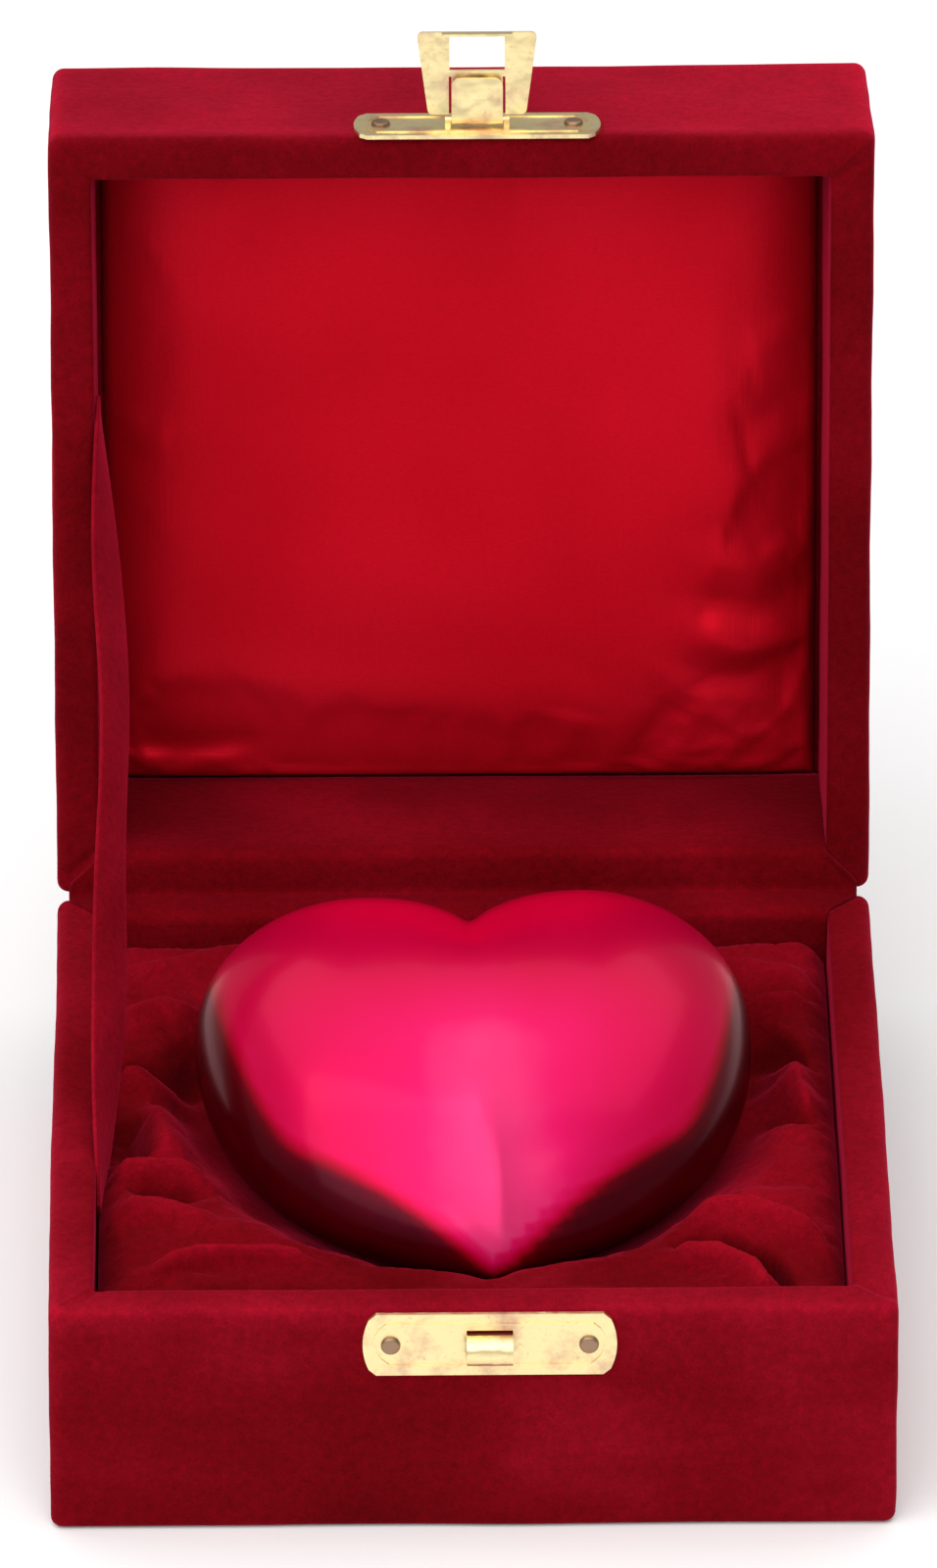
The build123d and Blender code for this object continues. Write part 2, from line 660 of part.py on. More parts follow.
with BuildPart() as cushion_velvet:
    slab(Plane.XY, (-CUSHION_X, CUSHION_X), (-CUSHION_Y, CUSHION_Y), (CUSHION_SKIRT_Z, CUSHION_TOP))
    fillet(edges().group_by(Axis.Z)[-1], radius=CUSHION_ROUND)
    with BuildSketch(Plane.XY.offset(CUSHION_SKIRT_Z - 1)) as inside:
        Rectangle(2 * FOAM_X, 2 * FOAM_Y)
    foam_block = extrude(
        inside.sketch, amount=CUSHION_TOP - VELVET - CUSHION_SKIRT_Z + 1, mode=Mode.PRIVATE
    )
    foam_rim = foam_block.edges().group_by(Axis.Z)[-1]
    add(foam_block.fillet(CUSHION_ROUND - VELVET, foam_rim), mode=Mode.SUBTRACT)
    add(recess_skin.part)
    add(close_recess.part, mode=Mode.SUBTRACT)
    movement_space(Mode.SUBTRACT)
cushion_velvet.part.label = "cushion_velvet"
export_step(cushion_velvet.part, "parts/cushion_velvet.step")

# ---- latch ----
with BuildPart() as catch_plate:
    stamped_plate(base_face, CATCH_PLATE_Y)
    lug_plane = Plane(
        origin=base_face.from_local_coords((-LUG_WIDTH / 2, 0, 0)),
        x_dir=base_face.y_dir,
        z_dir=base_face.x_dir,
    )
    # the slot behind the lug, then the bowed strip of the lug itself
    slab(
        base_face,
        (-LUG_WIDTH / 2, LUG_WIDTH / 2),
        (LUG_BOTTOM + LUG_SHEET, LUG_TOP + LUG_SHEET),
        (0, PLATE_THICKNESS),
        Mode.SUBTRACT,
    )
    with BuildSketch(lug_plane) as bow:
        with BuildLine():
            crest = ((LUG_TOP + LUG_BOTTOM) / 2, PLATE_THICKNESS + LUG_RISE)
            outer_top = (LUG_TOP, LUG_FOOT)
            outer_bottom = (LUG_BOTTOM, LUG_FOOT)
            inner_top = (LUG_TOP - LUG_SHEET, LUG_FOOT)
            inner_bottom = (LUG_BOTTOM + LUG_SHEET, LUG_FOOT)
            ThreePointArc(outer_top, crest, outer_bottom)
            Line(outer_bottom, inner_bottom)
            ThreePointArc(inner_bottom, (crest[0], crest[1] - LUG_SHEET), inner_top)
            Line(inner_top, outer_top)
        make_face()
    extrude(bow.sketch, amount=LUG_WIDTH)
catch_plate.part.label = "catch_plate"
export_step(catch_plate.part, "parts/catch_plate.step")

with BuildPart() as catch_nails:
    nails(base_face, CATCH_PLATE_Y)
catch_nails.part.label = "catch_nails"
export_step(catch_nails.part, "parts/catch_nails.step")

with BuildPart() as hasp_plate:
    stamped_plate(lid_face, HASP_PLATE_Y)
    post_outer = KNUCKLE_HALF_WIDTH + POST_GAP + POST_WIDTH
    for side in (-1, 1):
        slab(
            lid_face,
            sorted((side * post_outer, side * (post_outer - POST_WIDTH))),
            (PIVOT_UP - POST_HALF_HEIGHT, PIVOT_UP + POST_HALF_HEIGHT),
            (0, PIVOT_OUT),
        )
    with BuildSketch(
        Plane(
            origin=lid_face.from_local_coords((-post_outer, PIVOT_UP, PIVOT_OUT)),
            x_dir=lid_face.y_dir,
            z_dir=lid_face.x_dir,
        )
    ) as rod:
        Circle(PIVOT_RADIUS)
    extrude(rod.sketch, amount=2 * post_outer)
hasp_plate.part.label = "hasp_plate"
export_step(hasp_plate.part, "parts/hasp_plate.step")

with BuildPart() as hasp_nails:
    nails(lid_face, HASP_PLATE_Y)
hasp_nails.part.label = "hasp_nails"
export_step(hasp_nails.part, "parts/hasp_nails.step")

with BuildPart() as hasp:
    with BuildSketch(hasp_frame.offset(KNUCKLE_BORE)) as blade:
        with BuildLine():
            Polyline(
                (-HASP_PIVOT_HALF_WIDTH, -HASP_ARM_START),
                (HASP_PIVOT_HALF_WIDTH, -HASP_ARM_START),
                (HASP_END_HALF_WIDTH, -HASP_LENGTH),
                (-HASP_END_HALF_WIDTH, -HASP_LENGTH),
                close=True,
            )
        make_face()
        fillet(vertices(), radius=0.7)
        with Locations((0, -(WINDOW_START + HASP_LENGTH - HASP_SHEET) / 2)):
            Rectangle(2 * WINDOW_HALF_WIDTH, HASP_LENGTH - HASP_SHEET - WINDOW_START, mode=Mode.SUBTRACT)
        with GridLocations(2 * KNUCKLE_HALF_WIDTH + HASP_SLOT, 1, 2, 1):
            with Locations((0, -HASP_SLOT_END / 2)):
                Rectangle(HASP_SLOT, HASP_SLOT_END, mode=Mode.SUBTRACT)
        with Locations((0, -HASP_SLOT_END / 2)):
            Rectangle(2 * KNUCKLE_HALF_WIDTH, HASP_SLOT_END)
    extrude(blade.sketch, amount=HASP_SHEET)
    # the end of the rolled tongue lies in front of the blade
    with BuildSketch(hasp_frame.offset(-KNUCKLE_BORE - HASP_SHEET)) as flap:
        with Locations((0, -FLAP_LENGTH / 2)):
            Rectangle(2 * KNUCKLE_HALF_WIDTH, FLAP_LENGTH)
        fillet(vertices().group_by(Axis.Y)[0], radius=FLAP_CORNER)
    extrude(flap.sketch, amount=HASP_SHEET)
    with BuildSketch(
        Plane(
            origin=hasp_frame.from_local_coords((-KNUCKLE_HALF_WIDTH, 0, 0)),
            x_dir=hasp_frame.y_dir,
            z_dir=hasp_frame.x_dir,
        )
    ) as knuckle:
        Circle(KNUCKLE_BORE + HASP_SHEET)
        Circle(KNUCKLE_BORE, mode=Mode.SUBTRACT)
    extrude(knuckle.sketch, amount=2 * KNUCKLE_HALF_WIDTH)
    slab(
        hasp_frame,
        (-LIP_HALF_WIDTH, LIP_HALF_WIDTH),
        (-HASP_LENGTH, -HASP_LENGTH + HASP_SHEET),
        (KNUCKLE_BORE + HASP_SHEET - LIP_DROP, KNUCKLE_BORE + HASP_SHEET),
    )
hasp.part.label = "hasp"
export_step(hasp.part, "parts/hasp.step")

# ---- movement ----
with BuildPart() as movement_frame:
    slab(
        Plane.XY,
        (-FRAME_HALF_WIDTH, FRAME_HALF_WIDTH),
        (FRAME_FRONT, FRAME_BACK),
        (FLOOR_Z, FLOOR_Z + FRAME_SHEET),
    )
    for front in (FRAME_FRONT, FRAME_BACK - FRAME_SHEET):
        slab(
            Plane.XY,
            (UPRIGHT_LEFT, UPRIGHT_RIGHT),
            (front, front + FRAME_SHEET),
            (FLOOR_Z, FRAME_TOP),
        )
    fillet(edges().filter_by(Axis.Y).group_by(Axis.Z)[-1], radius=2.0)
    whole_depth = (FRAME_FRONT - 1, FRAME_BACK + 1)
    bar((BARREL_X, TRAIN_Z), ARBOR_RADIUS + RUNNING_CLEARANCE, whole_depth, Mode.SUBTRACT)
    bar((CYLINDER_X, TRAIN_Z), CYLINDER_ARBOR_RADIUS + RUNNING_CLEARANCE, whole_depth, Mode.SUBTRACT)
    bar((GOVERNOR_X, GOVERNOR_Z), GOVERNOR_ARBOR_RADIUS + RUNNING_CLEARANCE, whole_depth, Mode.SUBTRACT)
    with Locations((0, (FRAME_FRONT + FRAME_BACK) / 2, FLOOR_Z)):
        with GridLocations(46, 12, 2, 2):
            Cylinder(0.8, 6, mode=Mode.SUBTRACT)
movement_frame.part.label = "movement_frame"
export_step(movement_frame.part, "parts/movement_frame.step")

with BuildPart() as movement_screws:
    with Locations((0, (FRAME_FRONT + FRAME_BACK) / 2, FLOOR_Z + FRAME_SHEET)):
        with GridLocations(46, 12, 2, 2):
            Cylinder(1.6, 0.9, align=(Align.CENTER, Align.CENTER, Align.MIN))
            Cylinder(0.8, FRAME_SHEET + 2.4, align=(Align.CENTER, Align.CENTER, Align.MAX))
            with Locations((0, 0, 0.9)):
                Box(3.4, 0.4, 0.6, mode=Mode.SUBTRACT)
movement_screws.part.label = "movement_screws"
export_step(movement_screws.part, "parts/movement_screws.step")

WHEEL_BACK = WHEEL_FRONT + WHEEL_FACE
with BuildPart() as spring_barrel:
    gear(WHEEL_TEETH, WHEEL_MODULE, (BARREL_X, TRAIN_Z), 180, (WHEEL_FRONT, WHEEL_BACK))
    bar((BARREL_X, TRAIN_Z), DRUM_RADIUS, (WHEEL_BACK, DRUM_BACK))
    bar((BARREL_X, TRAIN_Z), DRUM_RADIUS - DRUM_WALL, (WHEEL_BACK, DRUM_BACK + 1), Mode.SUBTRACT)
    bar(
        (BARREL_X, TRAIN_Z),
        ARBOR_RADIUS + RUNNING_CLEARANCE,
        (WHEEL_FRONT - 1, DRUM_BACK + 1),
        Mode.SUBTRACT,
    )
spring_barrel.part.label = "spring_barrel"
export_step(spring_barrel.part, "parts/spring_barrel.step")

with BuildPart() as barrel_cover:
    bar((BARREL_X, TRAIN_Z), DRUM_RADIUS - DRUM_WALL, (DRUM_BACK - 0.9, DRUM_BACK))
    bar((BARREL_X, TRAIN_Z), ARBOR_RADIUS + RUNNING_CLEARANCE, (DRUM_BACK - 2, DRUM_BACK + 1), Mode.SUBTRACT)
barrel_cover.part.label = "barrel_cover"
export_step(barrel_cover.part, "parts/barrel_cover.step")

SPRING_INNER = ARBOR_RADIUS + 0.4
SPRING_OUTER = DRUM_RADIUS - DRUM_WALL - SPRING_SHEET - 0.05


def spring_point(turn, offset):
    """A point on the mainspring's spiral after some turns, moved outward by offset."""
    radius = SPRING_INNER + (SPRING_OUTER - SPRING_INNER) * turn / SPRING_TURNS + offset
    angle = 2 * math.pi * turn
    return (BARREL_X + radius * math.cos(angle), TRAIN_Z + radius * math.sin(angle))


spring_steps = [step / 12 for step in range(12 * SPRING_TURNS + 1)]
with BuildPart() as mainspring:
    with BuildSketch(upright(DRUM_BACK - 1.2)):
        with BuildLine():
            inner_face = Spline(*[spring_point(turn, 0) for turn in spring_steps])
            outer_face = Spline(*[spring_point(turn, SPRING_SHEET) for turn in spring_steps])
            Line(inner_face @ 0, outer_face @ 0)
            Line(inner_face @ 1, outer_face @ 1)
        make_face()
    extrude(amount=DRUM_BACK - 1.2 - WHEEL_BACK - 0.3)
mainspring.part.label = "mainspring"
export_step(mainspring.part, "parts/mainspring.step")

KEY_FRONT = HALF_D + 1.0
KEY_HUB_END = KEY_FRONT + 9.0
ARBOR_END = KEY_FRONT + 6.0
with BuildPart() as winding_arbor:
    bar((BARREL_X, TRAIN_Z), ARBOR_RADIUS, (FRAME_FRONT, ARBOR_END))
winding_arbor.part.label = "winding_arbor"
export_step(winding_arbor.part, "parts/winding_arbor.step")

with BuildPart() as winding_key:
    bar((BARREL_X, TRAIN_Z), KEY_HUB_RADIUS, (KEY_FRONT, KEY_HUB_END))
    fillet(edges().group_by(Axis.Y)[-1], radius=0.6)
    with BuildSketch(Plane.XY.offset(TRAIN_Z - KEY_SHEET / 2)) as wings:
        with Locations((BARREL_X, KEY_HUB_END)):
            SlotCenterToCenter(2 * KEY_WING_OFFSET, 2 * KEY_WING_RADIUS)
            with GridLocations(2 * KEY_WING_OFFSET + 1.0, 1, 2, 1):
                Circle(1.7, mode=Mode.SUBTRACT)
    extrude(wings.sketch, amount=KEY_SHEET)
    fillet(edges().filter_by(Plane.XY).filter_by(GeomType.CIRCLE), radius=0.35)
    bar((BARREL_X, TRAIN_Z), ARBOR_RADIUS, (KEY_FRONT - 1, ARBOR_END), Mode.SUBTRACT)
winding_key.part.label = "winding_key"
export_step(winding_key.part, "parts/winding_key.step")

with BuildPart() as key_bushing:
    bar((BARREL_X, TRAIN_Z), BUSHING_RADIUS, (WELL_Y, HALF_D))
    bar((BARREL_X, TRAIN_Z), BUSHING_RADIUS + 1.4, (HALF_D, HALF_D + 0.6))
    fillet(edges().group_by(Axis.Y)[-1], radius=0.35)
    bar((BARREL_X, TRAIN_Z), ARBOR_RADIUS + RUNNING_CLEARANCE, (WELL_Y - 1, HALF_D + 2), Mode.SUBTRACT)
key_bushing.part.label = "key_bushing"
export_step(key_bushing.part, "parts/key_bushing.step")

with BuildPart() as tune_cylinder:
    bar((CYLINDER_X, TRAIN_Z), CYLINDER_RADIUS, (CYLINDER_FRONT, CYLINDER_BACK))
    # pins climb the cylinder in a steady spiral, on the lines of the comb's teeth
    for pin in range(PIN_COUNT):
        line = (pin * 7) % COMB_TEETH
        turn = 360 * pin / PIN_COUNT
        depth = COMB_FRONT + COMB_PITCH * (line + 0.5)
        pin_direction = (math.cos(math.radians(turn)), 0, math.sin(math.radians(turn)))
        with BuildSketch(Plane(origin=(CYLINDER_X, depth, TRAIN_Z), z_dir=pin_direction)) as pin_end:
            Circle(PIN_RADIUS)
        extrude(pin_end.sketch, amount=CYLINDER_RADIUS + PIN_HEIGHT)
    gear(
        PINION_TEETH,
        WHEEL_MODULE,
        (CYLINDER_X, TRAIN_Z),
        180 / PINION_TEETH,
        (WHEEL_FRONT, CYLINDER_FRONT),
    )
    gear(
        GOVERNOR_WHEEL_TEETH,
        GOVERNOR_MODULE,
        (CYLINDER_X, TRAIN_Z),
        GOVERNOR_ANGLE,
        (CYLINDER_BACK, CYLINDER_BACK + 0.9),
    )
    bar((CYLINDER_X, TRAIN_Z), CYLINDER_ARBOR_RADIUS, (FRAME_FRONT, FRAME_BACK), Mode.SUBTRACT)
tune_cylinder.part.label = "tune_cylinder"
export_step(tune_cylinder.part, "parts/tune_cylinder.step")

with BuildPart() as cylinder_arbor:
    bar((CYLINDER_X, TRAIN_Z), CYLINDER_ARBOR_RADIUS, (FRAME_FRONT, FRAME_BACK))
cylinder_arbor.part.label = "cylinder_arbor"
export_step(cylinder_arbor.part, "parts/cylinder_arbor.step")

with BuildPart() as governor_fan:
    bar((GOVERNOR_X, GOVERNOR_Z), GOVERNOR_ARBOR_RADIUS, (FRAME_FRONT, FRAME_BACK))
    gear(
        GOVERNOR_PINION_TEETH,
        GOVERNOR_MODULE,
        (GOVERNOR_X, GOVERNOR_Z),
        GOVERNOR_ANGLE + 180 + 180 / GOVERNOR_PINION_TEETH,
        (CYLINDER_BACK - 0.1, CYLINDER_BACK + 1.0),
    )
    slab(
        Plane.XY,
        (GOVERNOR_X - FAN_HALF_SPAN, GOVERNOR_X + FAN_HALF_SPAN),
        (CYLINDER_FRONT + 1, CYLINDER_BACK - 1),
        (GOVERNOR_Z - 0.2, GOVERNOR_Z + 0.2),
    )
governor_fan.part.label = "governor_fan"
export_step(governor_fan.part, "parts/governor_fan.step")

COMB_BACK = COMB_FRONT + COMB_PITCH * COMB_TEETH
COMB_TIP_X = CYLINDER_X - CYLINDER_RADIUS - PIN_HEIGHT - COMB_TIP_CLEARANCE
COMB_ROOT_X = -12.0
COMB_END_X = -20.0
COMB_Z = (TRAIN_Z - 0.3, TRAIN_Z + 0.3)
COMB_SCREW_SPACING = 7.0
comb_middle = ((COMB_END_X + COMB_ROOT_X) / 2 - 0.5, (COMB_FRONT + COMB_BACK) / 2)
with BuildPart() as tune_comb:
    slab(Plane.XY, (COMB_END_X, COMB_ROOT_X), (COMB_FRONT, COMB_BACK), COMB_Z)
    for tooth in range(COMB_TEETH):
        tooth_middle = COMB_FRONT + COMB_PITCH * (tooth + 0.5)
        slab(Plane.XY, (COMB_ROOT_X, COMB_TIP_X), (tooth_middle - 0.2, tooth_middle + 0.2), COMB_Z)
    with Locations((*comb_middle, TRAIN_Z)):
        with GridLocations(1, COMB_SCREW_SPACING, 1, 2):
            Cylinder(0.7, 2, mode=Mode.SUBTRACT)
tune_comb.part.label = "tune_comb"
export_step(tune_comb.part, "parts/tune_comb.step")

with BuildPart() as comb_riser:
    slab(
        Plane.XY,
        (COMB_END_X, COMB_ROOT_X - 1),
        (COMB_FRONT, COMB_BACK),
        (FLOOR_Z + FRAME_SHEET, COMB_Z[0]),
    )
    with Locations((*comb_middle, COMB_Z[0])):
        with GridLocations(1, COMB_SCREW_SPACING, 1, 2):
            Cylinder(0.7, 5, align=(Align.CENTER, Align.CENTER, Align.MAX), mode=Mode.SUBTRACT)
comb_riser.part.label = "comb_riser"
export_step(comb_riser.part, "parts/comb_riser.step")

with BuildPart() as comb_screws:
    with Locations((*comb_middle, COMB_Z[1])):
        with GridLocations(1, COMB_SCREW_SPACING, 1, 2):
            Cylinder(1.4, 0.8, align=(Align.CENTER, Align.CENTER, Align.MIN))
            Cylinder(0.7, 5.2, align=(Align.CENTER, Align.CENTER, Align.MAX))
            with Locations((0, 0, 0.8)):
                Box(3.0, 0.4, 0.5, mode=Mode.SUBTRACT)
comb_screws.part.label = "comb_screws"
export_step(comb_screws.part, "parts/comb_screws.step")

with BuildPart() as movement_cover:
    slab(
        Plane.XY,
        (-COVER_HALF_WIDTH, COVER_HALF_WIDTH),
        (COVER_FRONT, WELL_Y),
        (FLOOR_Z, COVER_TOP),
    )
    slab(
        Plane.XY,
        (-COVER_HALF_WIDTH + COVER_WALL, COVER_HALF_WIDTH - COVER_WALL),
        (COVER_FRONT + COVER_WALL, WELL_Y),
        (FLOOR_Z, COVER_TOP - COVER_WALL),
        Mode.SUBTRACT,
    )
movement_cover.part.label = "movement_cover"
export_step(movement_cover.part, "parts/movement_cover.step")
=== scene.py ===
import json
import math

import bmesh
import bpy
import numpy as np
from mathutils import Matrix, Vector
from mathutils.bvhtree import BVHTree


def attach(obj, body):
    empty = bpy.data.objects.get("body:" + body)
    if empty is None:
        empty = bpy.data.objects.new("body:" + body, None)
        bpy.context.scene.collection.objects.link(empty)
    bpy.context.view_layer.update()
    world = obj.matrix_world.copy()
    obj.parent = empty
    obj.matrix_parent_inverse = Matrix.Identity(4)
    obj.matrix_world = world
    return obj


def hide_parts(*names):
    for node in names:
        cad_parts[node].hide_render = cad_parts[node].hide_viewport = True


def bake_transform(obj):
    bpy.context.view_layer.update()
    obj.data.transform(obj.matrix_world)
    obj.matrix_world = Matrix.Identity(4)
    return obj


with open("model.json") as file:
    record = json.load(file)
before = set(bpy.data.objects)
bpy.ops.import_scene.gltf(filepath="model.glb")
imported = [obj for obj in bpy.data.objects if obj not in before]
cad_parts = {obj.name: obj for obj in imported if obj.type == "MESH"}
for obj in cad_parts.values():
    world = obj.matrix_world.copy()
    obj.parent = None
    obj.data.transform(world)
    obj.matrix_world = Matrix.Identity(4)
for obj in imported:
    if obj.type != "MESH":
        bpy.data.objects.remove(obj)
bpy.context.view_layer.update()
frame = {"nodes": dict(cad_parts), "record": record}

MM = 0.001
scene = bpy.context.scene

# ---- the frame's own sizes, in millimetres ----
WIDTH, DEPTH = 108.0, 106.0
BASE_H, LID_H = 32.6, 31.0
WALL = 5.7
HINGE = np.array([0.0, 53.0, 32.8])
OPEN = math.radians(98.0)
LID_Y = np.array([0.0, math.cos(OPEN), -math.sin(OPEN)])
LID_Z = np.array([0.0, math.sin(OPEN), math.cos(OPEN)])
LID_O = HINGE + 0.2 * LID_Z
HEART_C = np.array([1.0, 4.2, 33.7])
TILT, YAW = math.radians(11.6), math.radians(2.7)


def lid_point(x, y, z):
    """A point of the lid's own frame, in the row frame, in mm."""
    return LID_O + np.array([x, 0.0, 0.0]) + y * LID_Y + z * LID_Z


def lid_points(p):
    """Many points of the lid's own frame, in the row frame, in mm."""
    return LID_O + p[..., :1] * np.array([1.0, 0, 0]) + p[..., 1:2] * LID_Y + p[..., 2:3] * LID_Z


# ---- small tools ----
rng = np.random.default_rng(11)
WAVES = [(rng.normal(size=3), rng.uniform(0, 6.28)) for _ in range(24)]


def ripple(p, scale, seed=0):
    """Smooth wandering noise of about -1 to 1 at points p in mm, with features of about scale mm."""
    out = np.zeros(p.shape[:-1])
    for k in range(6):
        d, phase = WAVES[(k + seed * 5) % 24]
        out += np.sin(p @ (d / np.linalg.norm(d)) * (2.1 / scale) * (1 + 0.35 * k) + phase + seed)
    return out / 3.2


def smoothstep(a, b, x):
    t = np.clip((x - a) / (b - a), 0, 1)
    return t * t * (3 - 2 * t)


def make_object(name, verts, faces, material=None, merge=0.002):
    """A mesh object from points in mm."""
    me = bpy.data.meshes.new(name)
    me.from_pydata([tuple(v) for v in np.asarray(verts) * MM], [], faces)
    bm = bmesh.new()
    bm.from_mesh(me)
    bmesh.ops.remove_doubles(bm, verts=bm.verts, dist=merge * MM)
    bmesh.ops.recalc_face_normals(bm, faces=bm.faces)
    for f in bm.faces:
        f.smooth = True
    bm.to_mesh(me)
    bm.free()
    ob = bpy.data.objects.new(name, me)
    scene.collection.objects.link(ob)
    if material:
        me.materials.append(material)
    return ob


def bake(ob, *modifiers):
    """Applies modifiers, given as (type, settings), to the object's mesh."""
    for kind, settings in modifiers:
        m = ob.modifiers.new(kind.lower(), kind)
        for key, value in settings.items():
            setattr(m, key, value)
    dg = bpy.context.evaluated_depsgraph_get()
    new = bpy.data.meshes.new_from_object(ob.evaluated_get(dg))
    ob.modifiers.clear()
    ob.data = new


def swell(ob, held, pressure, growth, cap, share=1.0):
    """Lets a padded cover settle as cloth with slack in it, held at some points, and caps each point's move.
    share, from 0 to 1 for each point, is how much of the movement is kept."""
    rest = np.array([v.co[:] for v in ob.data.vertices])
    ob.vertex_groups.new(name="held").add([int(i) for i in held], 1.0, "ADD")
    m = ob.modifiers.new("cloth", "CLOTH")
    m.settings.quality = 4
    m.settings.mass = 0.15
    m.settings.tension_stiffness = m.settings.compression_stiffness = 12.0
    m.settings.bending_stiffness = 0.05
    m.settings.shrink_min = -growth
    m.settings.vertex_group_mass = "held"
    m.settings.use_pressure = True
    m.settings.uniform_pressure_force = pressure
    m.settings.effector_weights.gravity = 0.0
    for frame_number in range(1, 21):
        scene.frame_set(frame_number)
    shape = ob.evaluated_get(bpy.context.evaluated_depsgraph_get()).data
    moved = np.array([v.co[:] for v in shape.vertices]) - rest
    far = np.linalg.norm(moved, axis=1, keepdims=True)
    moved *= share * np.tanh(far / (cap * MM)) * cap * MM / np.maximum(far, 1e-9)
    ob.modifiers.clear()
    ob.vertex_groups.clear()
    ob.data.vertices.foreach_set("co", (rest + moved).ravel())
    ob.data.update()
    scene.frame_set(1)


def grid_faces(rows, cols, wrap=False, start=0):
    """Quads of a grid of points in rows; wrap closes each row into a loop."""
    out = []
    last = cols if wrap else cols - 1
    for i in range(rows - 1):
        for j in range(last):
            k = (j + 1) % cols
            a = start + i * cols
            out.append((a + j, a + k, a + cols + k, a + cols + j))
    return out


# ---- materials ----
def new_material(name):
    m = bpy.data.materials.new(name)
    m.use_nodes = True
    nt = m.node_tree
    bsdf = nt.nodes["Principled BSDF"]
    return m, nt, bsdf


def node(nt, kind, **values):
    n = nt.nodes.new(kind)
    for key, value in values.items():
        if key in n.inputs:
            n.inputs[key].default_value = value
        else:
            setattr(n, key, value)
    return n


def noise(nt, scale, detail=3.0, rough=0.55, stretch=None):
    """A noise texture in object coordinates; scale is in features per metre."""
    co = node(nt, "ShaderNodeTexCoord")
    out = co.outputs["Object"]
    if stretch:
        mp = node(nt, "ShaderNodeMapping")
        mp.inputs["Scale"].default_value = stretch
        nt.links.new(out, mp.inputs["Vector"])
        out = mp.outputs["Vector"]
    n = node(nt, "ShaderNodeTexNoise", Scale=scale, Detail=detail, Roughness=rough)
    nt.links.new(out, n.inputs["Vector"])
    return n.outputs["Fac"]


def ramp(nt, fac, stops):
    r = node(nt, "ShaderNodeValToRGB")
    nt.links.new(fac, r.inputs["Fac"])
    e = r.color_ramp.elements
    e[0].position, e[0].color = stops[0][0], (*stops[0][1], 1)
    e[1].position, e[1].color = stops[-1][0], (*stops[-1][1], 1)
    for pos, col in stops[1:-1]:
        x = e.new(pos)
        x.color = (*col, 1)
    return r.outputs["Color"]


def mix_colour(nt, fac, a, b, mode="MIX"):
    m = node(nt, "ShaderNodeMix", data_type="RGBA", blend_type=mode)
    for value, index in ((fac, 0), (a, 6), (b, 7)):
        if hasattr(value, "links"):
            nt.links.new(value, m.inputs[index])
        elif index == 0:
            m.inputs[0].default_value = value
        else:
            m.inputs[index].default_value = (*value, 1)
    return m.outputs[2]


def maths(nt, op, a, b):
    m = node(nt, "ShaderNodeMath", operation=op)
    for value, index in ((a, 0), (b, 1)):
        if hasattr(value, "links"):
            nt.links.new(value, m.inputs[index])
        else:
            m.inputs[index].default_value = value
    return m.outputs[0]


def bump(nt, bsdf, layers):
    """Chains bump nodes: layers of (height output, strength, distance in metres)."""
    last = None
    for height, strength, distance in layers:
        b = node(nt, "ShaderNodeBump", Strength=strength, Distance=distance)
        nt.links.new(height, b.inputs["Height"])
        if last:
            nt.links.new(last, b.inputs["Normal"])
        last = b.outputs["Normal"]
    nt.links.new(last, bsdf.inputs["Normal"])


def velvet(name, dark, mid, light, sheen=0.10, tint=(1.0, 0.03, 0.11)):
    """Short-pile velvet: nap marks where the pile leans another way, fibre, a rim sheen, and a per-point tone
    that holds worn edges together with painted light and shade.
    """
    m, nt, bsdf = new_material(name)
    broad = noise(nt, 26, 3.0, 0.55)
    streak = noise(nt, 75, 4.0, 0.6, (0.30, 0.30, 1.0))
    fibre = noise(nt, 3200, 2.0, 0.7)
    tuft = noise(nt, 900, 2.0, 0.55)
    crush = noise(nt, 150, 5.0, 0.75)
    lay = maths(nt, "ADD", maths(nt, "MULTIPLY", broad, 0.6), maths(nt, "MULTIPLY", streak, 0.4))
    # the per-point tone holds rubbed pile, and also painted light and shade: a lighter lid front wall and rim
    # top, darker fold valleys and a dark cushion underside
    pile_tone_and_painted_light = node(nt, "ShaderNodeAttribute", attribute_name="pile_tone_and_painted_light")
    lay = maths(nt, "ADD", lay, maths(nt, "MULTIPLY", pile_tone_and_painted_light.outputs["Fac"], 0.16))
    col = ramp(nt, lay, [(0.34, dark), (0.52, mid), (0.72, light), (1.0, tuple(c * 1.9 for c in light))])
    tufts = ramp(nt, tuft, [(0.25, (0.62, 0.60, 0.60)), (0.75, (1.22, 1.25, 1.25))])
    fibres = ramp(nt, fibre, [(0.28, (0.55, 0.55, 0.55)), (0.72, (1.3, 1.3, 1.3))])
    col = mix_colour(nt, 0.5, col, tufts, "MULTIPLY")
    col = mix_colour(nt, 0.5, col, fibres, "MULTIPLY")
    lint = ramp(nt, crush, [(0.70, (0, 0, 0)), (0.80, (1, 1, 1))])
    col = mix_colour(nt, maths(nt, "MULTIPLY", lint, 0.35), col, tuple(min(1, c * 1.6) for c in light))
    nt.links.new(col, bsdf.inputs["Base Color"])
    bsdf.inputs["Roughness"].default_value = 0.95
    bsdf.inputs["Specular IOR Level"].default_value = 0.04
    bsdf.inputs["Sheen Weight"].default_value = sheen
    bsdf.inputs["Sheen Roughness"].default_value = 0.35
    bsdf.inputs["Sheen Tint"].default_value = (*tint, 1)
    bump(nt, bsdf, [(broad, 0.20, 0.0010), (tuft, 0.40, 0.0003), (fibre, 0.5, 0.00012)])
    return m


